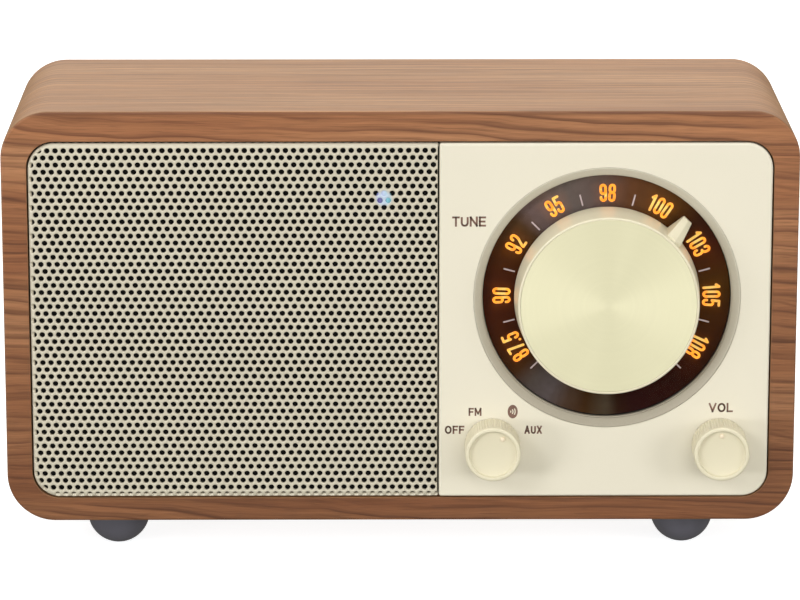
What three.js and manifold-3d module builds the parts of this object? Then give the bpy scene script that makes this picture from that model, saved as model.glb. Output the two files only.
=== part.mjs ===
// A compact tabletop radio: a wooden sleeve closed at the front by a plastic baffle that
// carries a perforated speaker grille and a control panel, and at the back by a plastic cover.
// Millimetres. +X runs to the right of the front, +Y from the front to the back, +Z up.
// The origin is the middle of the footprint, on the surface that the feet stand on.
import * as THREE from 'three';
import { mergeVertices } from 'three/addons/utils/BufferGeometryUtils.js';
import Module from 'manifold-3d';

// ---------------------------------------------------------------- driving dimensions
const W = 153;                 // width of the wooden sleeve
const H = 81.3;                // height of the wooden sleeve
const DEPTH = 54;              // depth of the wooden sleeve
const FOOT_H = 8;              // how far the feet hold the sleeve up
const R_OUT = 9.3;             // outer corner radius of the sleeve
const YF = -23.2;              // front edge plane of the sleeve
const YB = YF + DEPTH;         // back edge plane of the sleeve
const ZB = FOOT_H;             // underside of the sleeve
const ZT = ZB + H;             // top of the sleeve

const OPEN_W = 143.2;          // front and rear rebate, width
const OPEN_Z0 = ZB + 4.6;      // front and rear rebate, lower edge
const OPEN_Z1 = ZB + 75.4;     // front and rear rebate, upper edge
const OPEN_R = 5.3;            // rebate corner radius
const STEP = 2.2;              // width of the shoulder inside each rebate
const FRONT_REBATE = 6;        // depth of the front rebate
const REAR_REBATE = 3.6;       // depth of the rear rebate

const FACE_Y = YF - 0.3;       // front plane of the grille and of the control panel
const FASCIA_T = 3;            // depth of the grille pan and of the control panel
const SPLIT_X = 7.3;           // joint line between grille and panel
const EDGE = 0.3;              // clearance round the grille, panel, baffle and cover

const DIAL_X = 39.8, DIAL_Z = ZB + 44.6;     // tuning axis
const DIAL_R_OUT = 25.8;       // outer radius of the dial bezel
const DIAL_R_IN = 24;          // inner radius of the dial bezel
const DIAL_DEPTH = 1.3;        // depth of the bezel's chamfer
const KNOB_R_BASE = 17.9, KNOB_R_FACE = 17.4; // tuning knob
const KNOB_PROUD = 6.6;        // tuning knob in front of the panel
const POINTER_R = 22;          // reach of the pointer from the tuning axis
const POINTER_DEG = 45;        // where the pointer stands, clockwise from straight up

const MODE_X = 17.8, VOL_X = 61.9, SMALL_Z = ZB + 15.35; // small knob axes
const SMALL_R = 5.55, SMALL_R_FACE = 5.15; // small knob radius, at the panel and at the face
const SMALL_PROUD = 7.3;       // small knob in front of the panel
const MODE_DEG = 32;           // where the mode knob stands, clockwise from straight up

const LED_X = -3.2, LED_Z = ZB + 64.35, LED_R = 1.35; // status light in the grille

const SPK_X = -32.1, SPK_Z = (OPEN_Z0 + OPEN_Z1) / 2; // loudspeaker axis
const SPK_R = 30.5;            // loudspeaker flange radius

const FOOT_X = 55.7, FOOT_YF = -10.2, FOOT_YB = 17.8, FOOT_R = 6.1, FOOT_FLAT = 1.9;

// ---------------------------------------------------------------- solid modelling helpers
const wasm = await Module();
wasm.setup();

// A closed three.js geometry as a manifold solid, turned right side out.
function solid(geometry) {
  let g = geometry.clone();
  for (const name of Object.keys(g.attributes)) if (name !== 'position') g.deleteAttribute(name);
  g = mergeVertices(g, 1e-4);
  const index = g.index.array, tri = [];
  for (let i = 0; i < index.length; i += 3) {
    const [a, b, c] = [index[i], index[i + 1], index[i + 2]];
    if (a !== b && b !== c && a !== c) tri.push(a, b, c);
  }
  const make = (t) => new wasm.Manifold(new wasm.Mesh({
    numProp: 3,
    vertProperties: new Float32Array(g.attributes.position.array),
    triVerts: new Uint32Array(t),
  }));
  const made = make(tri);
  if (made.volume() > 0) return made;
  for (let i = 0; i < tri.length; i += 3) [tri[i + 1], tri[i + 2]] = [tri[i + 2], tri[i + 1]];
  return make(tri);
}

function geometryOf(body) {
  const m = body.getMesh(), n = m.numProp, v = new Float32Array(m.numVert * 3);
  for (let i = 0; i < m.numVert; i++) v.set(m.vertProperties.subarray(i * n, i * n + 3), i * 3);
  const g = new THREE.BufferGeometry();
  g.setAttribute('position', new THREE.BufferAttribute(v, 3));
  g.setIndex(new THREE.BufferAttribute(new Uint32Array(m.triVerts), 1));
  g.computeVertexNormals();
  return g;
}

// A box between two corners.
function box(x0, x1, y0, y1, z0, z1) {
  const g = new THREE.BoxGeometry(x1 - x0, y1 - y0, z1 - z0);
  g.translate((x0 + x1) / 2, (y0 + y1) / 2, (z0 + z1) / 2);
  return solid(g);
}

// A shape drawn in X and Z, extruded from y0 to y1.
function plate(shape, y0, y1, curveSegments = 8) {
  const g = new THREE.ExtrudeGeometry(shape, { depth: y1 - y0, bevelEnabled: false, curveSegments });
  g.rotateX(Math.PI / 2);
  g.translate(0, y1, 0);
  return solid(g);
}

// A rectangle with a radius for each corner: left-bottom, right-bottom, right-top, left-top.
function rounded(x0, x1, z0, z1, r) {
  const [lb, rb, rt, lt] = Array.isArray(r) ? r : [r, r, r, r];
  const s = new THREE.Shape();
  s.moveTo(x0 + lb, z0);
  s.lineTo(x1 - rb, z0);
  if (rb) s.absarc(x1 - rb, z0 + rb, rb, -Math.PI / 2, 0, false);
  s.lineTo(x1, z1 - rt);
  if (rt) s.absarc(x1 - rt, z1 - rt, rt, 0, Math.PI / 2, false);
  s.lineTo(x0 + lt, z1);
  if (lt) s.absarc(x0 + lt, z1 - lt, lt, Math.PI / 2, Math.PI, false);
  s.lineTo(x0, z0 + lb);
  if (lb) s.absarc(x0 + lb, z0 + lb, lb, Math.PI, Math.PI * 1.5, false);
  return s;
}

// A profile of [radius, y] points turned about the Y axis through (x, z).
function turned(points, segments, x = 0, z = 0) {
  const g = new THREE.LatheGeometry(points.map(([r, y]) => new THREE.Vector2(r, y)), segments);
  g.translate(x, 0, z);
  return solid(g);
}

// A rod or, with an inner radius, a tube along Y.
function rodY(x, z, r, y0, y1, segments = 24, inner = 0) {
  return inner
    ? turned([[inner, y0], [r, y0], [r, y1], [inner, y1], [inner, y0]], segments, x, z)
    : turned([[0, y0], [r, y0], [r, y1], [0, y1]], segments, x, z);
}

// A wire of radius r through the given points.
function wire(points, r, steps, sides = 8) {
  const path = new THREE.CatmullRomCurve3(points.map((p) => new THREE.Vector3(...p)), false, 'centripetal');
  const section = new THREE.Shape();
  for (let i = 0; i < sides; i++) {
    const a = (i / sides) * Math.PI * 2;
    section[i ? 'lineTo' : 'moveTo'](Math.cos(a) * r, Math.sin(a) * r);
  }
  return solid(new THREE.ExtrudeGeometry(section, { steps, bevelEnabled: false, extrudePath: path }));
}

// Turns a body about the Y axis through (x, z), clockwise as seen from the front.
function clockwise(body, degrees, x, z) {
  return body.translate([-x, 0, -z]).rotate([0, degrees, 0]).translate([x, 0, z]);
}

const radio = new THREE.Group();
radio.name = 'tabletop_radio';
const groups = {};
function group(name) {
  if (!groups[name]) {
    groups[name] = new THREE.Group();
    groups[name].name = name + '_group';
    radio.add(groups[name]);
  }
  return groups[name];
}
const material = {
  walnut: new THREE.MeshStandardMaterial({ color: 0x9a6546, roughness: 0.55, metalness: 0 }),
  cream: new THREE.MeshStandardMaterial({ color: 0xeee6cc, roughness: 0.45, metalness: 0 }),
  creamMetal: new THREE.MeshStandardMaterial({ color: 0xded4ba, roughness: 0.5, metalness: 0.2 }),
  bezel: new THREE.MeshStandardMaterial({ color: 0xb9af96, roughness: 0.45, metalness: 0.1 }),
  champagne: new THREE.MeshStandardMaterial({ color: 0xe4dcb8, roughness: 0.32, metalness: 0.6 }),
  dial: new THREE.MeshStandardMaterial({ color: 0x33150a, roughness: 0.3, metalness: 0 }),
  clear: new THREE.MeshStandardMaterial({ color: 0xf2f2f2, roughness: 0.05, metalness: 0, transparent: true, opacity: 0.3 }),
  diffuser: new THREE.MeshStandardMaterial({ color: 0xf4f1e6, roughness: 0.6, metalness: 0 }),
  led: new THREE.MeshStandardMaterial({ color: 0xcfe4f5, roughness: 0.2, metalness: 0 }),
  black: new THREE.MeshStandardMaterial({ color: 0x1c1c1c, roughness: 0.7, metalness: 0 }),
  cloth: new THREE.MeshStandardMaterial({ color: 0x101010, roughness: 0.95, metalness: 0 }),
  paper: new THREE.MeshStandardMaterial({ color: 0x232323, roughness: 0.9, metalness: 0 }),
  rubber: new THREE.MeshStandardMaterial({ color: 0x55565f, roughness: 0.75, metalness: 0 }),
  steel: new THREE.MeshStandardMaterial({ color: 0xb8babd, roughness: 0.35, metalness: 1 }),
  ferrite: new THREE.MeshStandardMaterial({ color: 0x3a3a3d, roughness: 0.7, metalness: 0.1 }),
  copper: new THREE.MeshStandardMaterial({ color: 0xb87545, roughness: 0.4, metalness: 0.9 }),
  spider: new THREE.MeshStandardMaterial({ color: 0xc8a24e, roughness: 0.9, metalness: 0 }),
  board: new THREE.MeshStandardMaterial({ color: 0x1f5a35, roughness: 0.5, metalness: 0 }),
  cell: new THREE.MeshStandardMaterial({ color: 0x2f6fae, roughness: 0.4, metalness: 0 }),
  wire: new THREE.MeshStandardMaterial({ color: 0x8c2020, roughness: 0.5, metalness: 0 }),
};
function part(name, body, mat, body_group = 'cabinet') {
  const mesh = new THREE.Mesh(geometryOf(body), material[mat]);
  mesh.name = name;
  group(body_group).add(mesh);
  return body;
}

// ---------------------------------------------------------------- wooden sleeve
const openX = OPEN_W / 2;
const boreX = openX - STEP, boreZ0 = OPEN_Z0 + STEP, boreZ1 = OPEN_Z1 - STEP;
const shoulderY = YF + FRONT_REBATE, rearShoulderY = YB - REAR_REBATE;
const CORNER_BLOCK_Y = 16, BLOCK = 10.5;
const SCREW_IN = 2.9;          // case screw axes, in from the bore
const caseScrews = [[-1, 0], [1, 0], [1, 1], [-1, 1]].map(([sx, top]) => [
  sx * (boreX - SCREW_IN), top ? boreZ1 - SCREW_IN : boreZ0 + SCREW_IN]);
const feet = [
  ['foot_front_left', -FOOT_X, FOOT_YF], ['foot_front_right', FOOT_X, FOOT_YF],
  ['foot_rear_left', -FOOT_X, FOOT_YB], ['foot_rear_right', FOOT_X, FOOT_YB]];
const PEG_R = 2, PEG_H = 2.6;
{
  let sleeve = plate(rounded(-W / 2, W / 2, ZB, ZT, R_OUT), YF, YB, 7);
  sleeve = sleeve.subtract(plate(rounded(-openX, openX, OPEN_Z0, OPEN_Z1, OPEN_R), YF - 1, shoulderY, 5));
  sleeve = sleeve.subtract(plate(rounded(-openX, openX, OPEN_Z0, OPEN_Z1, OPEN_R), rearShoulderY, YB + 1, 5));
  // The bore is a plain rounded rectangle in front; behind, its corners are left thick for the case screws.
  sleeve = sleeve.subtract(plate(rounded(-boreX, boreX, boreZ0, boreZ1, 3.2), YF - 1, CORNER_BLOCK_Y, 3));
  const rear = new THREE.Shape();
  rear.moveTo(-boreX + BLOCK, boreZ0); rear.lineTo(boreX - BLOCK, boreZ0); rear.lineTo(boreX, boreZ0 + BLOCK);
  rear.lineTo(boreX, boreZ1 - BLOCK); rear.lineTo(boreX - BLOCK, boreZ1); rear.lineTo(-boreX + BLOCK, boreZ1);
  rear.lineTo(-boreX, boreZ1 - BLOCK); rear.lineTo(-boreX, boreZ0 + BLOCK);
  sleeve = sleeve.subtract(plate(rear, CORNER_BLOCK_Y - 1, YB + 1));
  for (const [x, z] of caseScrews) sleeve = sleeve.subtract(rodY(x, z, 1.4, 18, YB + 1, 12));
  for (const [, x, y] of feet) {
    const g = new THREE.CylinderGeometry(PEG_R + 0.15, PEG_R + 0.15, PEG_H + 1.2, 16);
    g.rotateX(Math.PI / 2); g.translate(x, y, ZB + (PEG_H + 1.2) / 2 - 1);
    sleeve = sleeve.subtract(solid(g));
  }
  part('cabinet_sleeve', sleeve, 'walnut');
}

// ---------------------------------------------------------------- rubber feet, ball shaped with a small flat and a peg
for (const [name, x, y] of feet) {
  const top = ZB - 0.12, cz = FOOT_R, pts = [[0, 0], [FOOT_FLAT, 0]];
  const base = Math.asin(FOOT_FLAT / FOOT_R), end = Math.PI / 2 + Math.asin((top - cz) / FOOT_R);
  for (let i = 1; i <= 6; i++) {
    const a = base + (end - base) * (i / 6);
    pts.push([FOOT_R * Math.sin(a), cz - FOOT_R * Math.cos(a)]);
  }
  pts[pts.length - 1][1] = top;
  pts.push([PEG_R, top], [PEG_R, ZB + PEG_H - 0.2], [0, ZB + PEG_H - 0.2]);
  const g = new THREE.LatheGeometry(pts.map(([r, h]) => new THREE.Vector2(r, h)), 16);
  g.rotateX(Math.PI / 2);
  g.translate(x, y, 0);
  part(name, solid(g), 'rubber');
}

// ---------------------------------------------------------------- front baffle
const baffleY0 = FACE_Y + FASCIA_T + 0.2, baffleY1 = shoulderY - 0.15;
const SPK_HOLE = 27;
const spkScrews = [45, 135, 225, 315].map((d) => [
  SPK_X + 28.7 * Math.cos(d * Math.PI / 180), SPK_Z + 28.7 * Math.sin(d * Math.PI / 180)]);
{
  let b = plate(rounded(-openX + EDGE, openX - EDGE, OPEN_Z0 + EDGE, OPEN_Z1 - EDGE, OPEN_R - EDGE), baffleY0, baffleY1, 5);
  b = b.subtract(rodY(SPK_X, SPK_Z, SPK_HOLE, baffleY0 - 1, baffleY1 + 1, 32));
  b = b.subtract(rodY(DIAL_X, DIAL_Z, 24.3, baffleY0 - 1, baffleY1 + 1, 32));
  for (const x of [MODE_X, VOL_X]) b = b.subtract(rodY(x, SMALL_Z, 3.6, baffleY0 - 1, baffleY1 + 1, 16));
  b = b.subtract(rodY(LED_X, LED_Z, 1.7, baffleY0 - 1, baffleY1 + 1, 12));
  for (const [x, z] of spkScrews) b = b.subtract(rodY(x, z, 1.25, baffleY0 + 0.3, baffleY1 + 1, 12));
  part('front_baffle', b, 'black');
}

// ---------------------------------------------------------------- speaker grille, a pan of perforated sheet with turned-back edges
{
  const x0 = -openX + EDGE, x1 = SPLIT_X - 0.15, z0 = OPEN_Z0 + EDGE, z1 = OPEN_Z1 - EDGE;
  let g = plate(rounded(x0, x1, z0, z1, [5, 0.8, 0.8, 5]), FACE_Y, FACE_Y + FASCIA_T, 5);
  g = g.subtract(plate(rounded(x0 + 0.8, x1 - 0.8, z0 + 0.8, z1 - 0.8, [4.2, 0.1, 0.1, 4.2]), FACE_Y + 0.8, FACE_Y + FASCIA_T + 1, 5));
  g = g.subtract(rodY(LED_X, LED_Z, LED_R + 0.1, FACE_Y - 1, FACE_Y + 2, 16));
  part('speaker_grille', g, 'creamMetal');
  let c = plate(rounded(x0 + 1.1, x1 - 1.1, z0 + 1.1, z1 - 1.1, [3.8, 0.4, 0.4, 3.8]), FACE_Y + 1.1, FACE_Y + 1.5, 4);
  c = c.subtract(rodY(LED_X, LED_Z, LED_R + 0.3, FACE_Y, FACE_Y + 3, 12));
  part('grille_cloth', c, 'cloth');
}

// ---------------------------------------------------------------- control panel
{
  const x0 = SPLIT_X + 0.15, x1 = openX - EDGE, z0 = OPEN_Z0 + EDGE, z1 = OPEN_Z1 - EDGE;
  let p = plate(rounded(x0, x1, z0, z1, [0.5, 5, 5, 0.5]), FACE_Y, FACE_Y + FASCIA_T, 6);
  p = p.subtract(rodY(DIAL_X, DIAL_Z, DIAL_R_OUT + 0.08, FACE_Y - 1, FACE_Y + 5, 44));
  for (const x of [MODE_X, VOL_X]) p = p.subtract(rodY(x, SMALL_Z, 4.5, FACE_Y - 1, FACE_Y + 5, 20));
  part('control_panel', p, 'cream');
}

// ---------------------------------------------------------------- dial: bezel, window, printed plate and light guide
const windowY = FACE_Y + DIAL_DEPTH;
part('dial_bezel', turned([
  [DIAL_R_OUT - 0.1, FACE_Y + 0.02], [DIAL_R_OUT - 0.1, FACE_Y + FASCIA_T], [DIAL_R_IN + 0.2, FACE_Y + FASCIA_T],
  [DIAL_R_IN + 0.2, windowY + 0.35], [DIAL_R_IN, windowY + 0.2], [DIAL_R_IN, windowY - 0.05],
  [DIAL_R_OUT - 0.45, FACE_Y + 0.02], [DIAL_R_OUT - 0.1, FACE_Y + 0.02]], 44, DIAL_X, DIAL_Z), 'bezel');
part('dial_window', rodY(DIAL_X, DIAL_Z, DIAL_R_IN - 0.12, windowY, windowY + 1, 40, 9), 'clear');
part('dial_plate', rodY(DIAL_X, DIAL_Z, DIAL_R_IN - 0.2, windowY + 1.12, windowY + 1.6, 40, 7), 'dial');
part('dial_light_guide', rodY(DIAL_X, DIAL_Z, DIAL_R_IN - 0.3, windowY + 1.75, baffleY1 - 0.1, 32, 7.5), 'diffuser');

// ---------------------------------------------------------------- tuning knob, its spun cap, its pointer and its shaft
const knobFaceY = FACE_Y - KNOB_PROUD, knobBaseY = windowY - 0.35;
const potFrontY = -15, potBackY = -8.2, boardY0 = -8, boardY1 = -6.4;
{
  let k = turned([
    [4.4, knobFaceY + 1.3], [0, knobFaceY + 1.3], [0, knobFaceY + 0.9], [KNOB_R_FACE - 0.7, knobFaceY + 0.9],
    [KNOB_R_FACE - 0.7, knobFaceY + 0.15], [KNOB_R_FACE - 0.55, knobFaceY], [KNOB_R_FACE - 0.3, knobFaceY],
    [KNOB_R_FACE, knobFaceY + 0.3], [KNOB_R_BASE, knobBaseY], [KNOB_R_BASE - 1.6, knobBaseY],
    [KNOB_R_BASE - 1.9, knobFaceY + 2.3], [4.4, knobFaceY + 2.3], [4.4, knobFaceY + 1.3]], 40, DIAL_X, DIAL_Z);
  // The hub that grips the flatted shaft.
  k = k.add(rodY(DIAL_X, DIAL_Z, 5, knobFaceY + 1.2, knobBaseY - 0.2, 20));
  k = k.subtract(rodY(DIAL_X, DIAL_Z, 3.12, knobFaceY + 2.1, knobBaseY + 1, 16));
  part('tuning_knob', k, 'cream', 'tuning');
  part('tuning_knob_cap', turned([
    [0, knobFaceY + 0.12], [KNOB_R_FACE - 1.05, knobFaceY + 0.12], [KNOB_R_FACE - 0.85, knobFaceY + 0.25],
    [KNOB_R_FACE - 0.85, knobFaceY + 0.8], [0, knobFaceY + 0.8]], 40, DIAL_X, DIAL_Z), 'champagne', 'tuning');

  // Pointer: a wedge from the knob's rim down to the dial, with a ridge along it. Built upright, then turned.
  const r0 = 15.2, r1 = POINTER_R, yTop0 = knobFaceY + 0.75, yTop1 = windowY - 2.2, yBase = windowY - 0.4;
  const wBase = 1.6, wTip = 1.05, side0 = 0.75, side1 = 0.55;
  const P = [
    [-wBase, yBase, r0], [wBase, yBase, r0], [wBase, yTop0 + side0, r0], [0, yTop0, r0], [-wBase, yTop0 + side0, r0],
    [-wTip, yBase, r1], [wTip, yBase, r1], [wTip, yTop1 + side1, r1 - 0.25], [0, yTop1, r1 - 0.4], [-wTip, yTop1 + side1, r1 - 0.25]];
  const quads = [[0, 1, 6, 5], [1, 2, 7, 6], [2, 3, 8, 7], [3, 4, 9, 8], [4, 0, 5, 9]];
  const idx = [];
  for (const [a, b, c, d] of quads) idx.push(a, b, c, a, c, d);
  idx.push(0, 2, 1, 0, 3, 2, 0, 4, 3, 5, 6, 7, 5, 7, 8, 5, 8, 9);
  const g = new THREE.BufferGeometry();
  g.setAttribute('position', new THREE.BufferAttribute(new Float32Array(P.flat()), 3));
  g.setIndex(idx);
  let pointer = solid(g).translate([DIAL_X, 0, DIAL_Z]);
  // It is notched round the knob's wall.
  pointer = pointer.subtract(turned([
    [0, knobFaceY - 1], [KNOB_R_FACE + 0.1, knobFaceY - 1], [KNOB_R_FACE + 0.1, knobFaceY + 0.3],
    [KNOB_R_BASE + 0.1, knobBaseY], [KNOB_R_BASE + 0.1, knobBaseY + 1], [0, knobBaseY + 1]], 40, DIAL_X, DIAL_Z));
  part('tuning_pointer', clockwise(pointer, POINTER_DEG, DIAL_X, DIAL_Z), 'cream', 'tuning');
}
function flatShaft(x, z, y0, y1, flatFrom, flatTo) {
  let s = rodY(x, z, 3, y0, y1, 20);
  return s.subtract(box(x - 4, x + 4, flatFrom, flatTo, z + 1.6, z + 4));
}
part('tuning_shaft', flatShaft(DIAL_X, DIAL_Z, knobFaceY + 2.3, potFrontY + 2, knobFaceY + 1, windowY + 2), 'steel', 'tuning');
{
  let pot = box(DIAL_X - 8, DIAL_X + 8, potFrontY, potBackY, DIAL_Z - 8, DIAL_Z + 8);
  pot = pot.add(rodY(DIAL_X, DIAL_Z, 4.4, potFrontY - 2.4, potFrontY + 0.5, 20));
  pot = pot.subtract(rodY(DIAL_X, DIAL_Z, 3.1, potFrontY - 4, potFrontY + 2.5, 20));
  part('tuning_potentiometer', pot, 'black');
}

// ---------------------------------------------------------------- mode and volume controls
const smallFaceY = FACE_Y - SMALL_PROUD;
for (const [name, x, turn] of [['mode', MODE_X, MODE_DEG], ['volume', VOL_X, 0]]) {
  // Knob: a plain drum with a dished face and a raised dot that shows its position.
  let k = turned([
    [0, smallFaceY + 0.7], [SMALL_R_FACE - 1.25, smallFaceY + 0.7], [SMALL_R_FACE - 0.95, smallFaceY + 0.1],
    [SMALL_R_FACE - 0.7, smallFaceY], [SMALL_R_FACE - 0.4, smallFaceY], [SMALL_R_FACE, smallFaceY + 0.45],
    [SMALL_R, FACE_Y - 0.35], [0, FACE_Y - 0.35]], 24, x, SMALL_Z);
  k = k.subtract(rodY(x, SMALL_Z, 4.4, FACE_Y - 2.4, FACE_Y, 20));
  k = k.subtract(rodY(x, SMALL_Z, 3.12, smallFaceY + 2.2, FACE_Y, 16));
  let dot = rodY(0, 3.2, 0.35, smallFaceY + 0.35, smallFaceY + 1, 10);
  k = k.add(dot.rotate([0, turn, 0]).translate([x, 0, SMALL_Z]));
  part(name + '_knob', k, 'cream', name);
  part(name + '_shaft', flatShaft(x, SMALL_Z, smallFaceY + 2.5, potFrontY + 2, smallFaceY + 1, FACE_Y - 0.5), 'steel', name);
  // Body, threaded bushing and the nut that clamps it to the baffle.
  let pot = box(x - 4.8, x + 4.8, potFrontY, potBackY, SMALL_Z - 5.2, SMALL_Z + 5.2);
  pot = pot.add(rodY(x, SMALL_Z, 3.45, FACE_Y + 0.6, potFrontY + 0.5, 16));
  pot = pot.subtract(rodY(x, SMALL_Z, 3.1, FACE_Y - 2, potFrontY + 2.5, 20));
  part(name === 'mode' ? 'mode_switch' : 'volume_potentiometer', pot, 'black');
  const nut = rodY(x, SMALL_Z, 4.25, FACE_Y + 1.2, baffleY0 - 0.1, 6).subtract(rodY(x, SMALL_Z, 3.55, FACE_Y, FACE_Y + 5, 16));
  part(name + '_nut', nut, 'steel');
}

// ---------------------------------------------------------------- control board behind the dial
{
  let b = plate(rounded(10, 68.5, 17, 79, 1), boardY0, boardY1, 2);
  for (const [x, z] of [[DIAL_X - 14, DIAL_Z], [DIAL_X + 14, DIAL_Z], [DIAL_X, DIAL_Z + 14], [DIAL_X, DIAL_Z - 14]])
    b = b.add(box(x - 1.5, x + 1.5, boardY0 - 1.4, boardY0 + 0.2, z - 1.5, z + 1.5)); // dial lamps
  b = b.add(box(14, 26, boardY1 - 0.1, boardY1 + 2.4, 60, 64)); // flat-cable socket
  part('control_board', b, 'board');
}

// ---------------------------------------------------------------- status light: lens in the grille, lamp and its little board
part('status_lens', turned([
  [0, FACE_Y - 0.12], [LED_R * 0.6, FACE_Y - 0.05], [LED_R, FACE_Y + 0.15], [LED_R, baffleY1 - 0.2], [0, baffleY1 - 0.2]], 16, LED_X, LED_Z), 'led');
{
  let s = box(LED_X - 4, LED_X + 6, -16, -14.6, LED_Z - 4, LED_Z + 4);
  s = s.add(box(LED_X - 1.2, LED_X + 1.2, -17.1, -15.9, LED_Z - 1.2, LED_Z + 1.2));
  part('status_lamp_board', s, 'board');
}

// ---------------------------------------------------------------- loudspeaker
const flangeY0 = baffleY1 + 1.1, flangeY1 = flangeY0 + 1.2, seatY = 0;
part('speaker_gasket', (() => {
  let g = rodY(SPK_X, SPK_Z, SPK_R, baffleY1 + 0.12, flangeY0 - 0.12, 28, SPK_HOLE + 0.6);
  for (const [x, z] of spkScrews) g = g.subtract(rodY(x, z, 1.35, baffleY1 - 1, flangeY1, 8));
  return g;
})(), 'cloth');
{
  let b = turned([
    [SPK_R, flangeY0], [SPK_R, flangeY1], [25.2, flangeY1], [20.2, seatY], [8, seatY], [8, seatY - 1.2],
    [19.2, seatY - 1.2], [24, flangeY0 + 1.5], [24, flangeY0 + 0.9], [27, flangeY0 + 0.9], [27, flangeY0], [SPK_R, flangeY0]], 28, SPK_X, SPK_Z);
  for (let i = 0; i < 4; i++) { // windows between the four ribs of the frame
    const w = box(-6.5, 6.5, -12.2, -2.4, 14, 32).rotate([0, 45 + i * 90 + 45, 0]).translate([SPK_X, 0, SPK_Z]);
    b = b.subtract(w);
  }
  for (const [x, z] of spkScrews) b = b.subtract(rodY(x, z, 1.35, flangeY0 - 2, flangeY1 + 1, 8));
  part('speaker_frame', b, 'black');
}
part('speaker_surround', turned([
  [23.3, flangeY0 + 0.1], [23.9, flangeY0 - 0.9], [24.9, flangeY0 - 1.5], [25.9, flangeY0 - 0.9], [26.4, flangeY0 + 0.1], [26.7, flangeY0 + 0.1], [26.7, flangeY0 + 0.6],
  [26, flangeY0 + 0.6], [25.6, flangeY0 - 0.3], [24.9, flangeY0 - 0.8], [24.2, flangeY0 - 0.3], [23.8, flangeY0 + 0.6], [23.3, flangeY0 + 0.6], [23.3, flangeY0 + 0.1]], 24, SPK_X, SPK_Z), 'black');
part('speaker_cone', turned([
  [23, flangeY0 + 0.1], [23, flangeY0 + 0.6], [21.6, flangeY0 + 1], [13, -9.2], [7.6, -5.4], [6.95, -5.4], [6.95, -6.2],
  [12.8, -10.1], [21.3, flangeY0 + 0.35], [22.2, flangeY0 + 0.1], [23, flangeY0 + 0.1]], 24, SPK_X, SPK_Z), 'paper', 'cone');
part('speaker_dust_cap', turned([
  [0, -13.2], [3.4, -12.7], [6.4, -11.4], [8.6, -9.3], [8.6, -8.5], [6.2, -10.6], [3.2, -11.9], [0, -12.4]], 24, SPK_X, SPK_Z), 'paper', 'cone');
part('speaker_voice_coil', rodY(SPK_X, SPK_Z, 6.8, -7.6, 4.2, 24, 6.45), 'copper', 'cone');
part('speaker_spider', turned([
  [7.9, -3.7], [10, -4.3], [12, -3.5], [14, -4.3], [16, -3.5], [18.6, -4], [18.6, -3.4], [16, -2.9], [14, -3.7], [12, -2.9], [10, -3.7], [7.9, -3.1], [7.9, -3.7]], 20, SPK_X, SPK_Z), 'spider');
part('speaker_top_plate', rodY(SPK_X, SPK_Z, 18.4, seatY + 0.15, seatY + 3.2, 24, 7.15), 'steel');
part('speaker_magnet', rodY(SPK_X, SPK_Z, 20.8, seatY + 3.35, seatY + 11.4, 24, 10.5), 'ferrite');
part('speaker_yoke', turned([
  [0, seatY + 0.3], [6.05, seatY + 0.3], [6.05, seatY + 11.55], [18.4, seatY + 11.55], [18.4, seatY + 14.6], [0, seatY + 14.6]], 24, SPK_X, SPK_Z), 'steel');
spkScrews.forEach(([x, z], i) => {
  part('speaker_screw_' + (i + 1), turned([
    [0, baffleY0 + 0.5], [1.1, baffleY0 + 1.1], [1.1, flangeY1 + 0.12], [2.2, flangeY1 + 0.12], [2.1, flangeY1 + 1], [1.2, flangeY1 + 1.5], [0, flangeY1 + 1.6]], 10, x, z), 'steel');
});

// ---------------------------------------------------------------- rear cover with its sockets, main board and battery
const coverY0 = rearShoulderY + 0.2, coverY1 = YB - 0.4;
const USB = [-14, 30], AUX = [6, 30];
const boardRearY0 = 21.6, boardRearY1 = 23.2;
const boardScrews = [[-26, 66], [36, 66]];
{
  let c = plate(rounded(-openX + EDGE, openX - EDGE, OPEN_Z0 + EDGE, OPEN_Z1 - EDGE, OPEN_R - EDGE), coverY0, coverY1, 5);
  for (const [x, z] of caseScrews) {
    c = c.subtract(rodY(x, z, 1.5, coverY0 - 1, coverY1 + 1, 12));
    c = c.subtract(rodY(x, z, 2.9, coverY1 - 1.6, coverY1 + 1, 16));
  }
  // A shallow bay round the two sockets, and the sockets' own openings.
  c = c.subtract(plate(rounded(-24, 16, 24, 36, 2.5), coverY1 - 1, coverY1 + 1, 3));
  c = c.subtract(box(USB[0] - 4.5, USB[0] + 4.5, coverY0 - 1, coverY1 + 1, USB[1] - 1.7, USB[1] + 1.7));
  c = c.subtract(rodY(AUX[0], AUX[1], 3.2, coverY0 - 1, coverY1 + 1, 20));
  // Cooling slots.
  for (let i = 0; i < 6; i++) c = c.subtract(box(-18 , 18, coverY0 - 1, coverY1 + 1, 56 + i * 3, 57.4 + i * 3));
  // Posts that carry the main board.
  for (const [x, z] of boardScrews) {
    c = c.add(rodY(x, z, 2.6, boardRearY1 + 0.12, coverY0 + 0.2, 16));
    c = c.subtract(rodY(x, z, 0.95, boardRearY1 - 1, coverY0 + 0.5, 10));
  }
  part('rear_cover', c, 'black');
}
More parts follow.
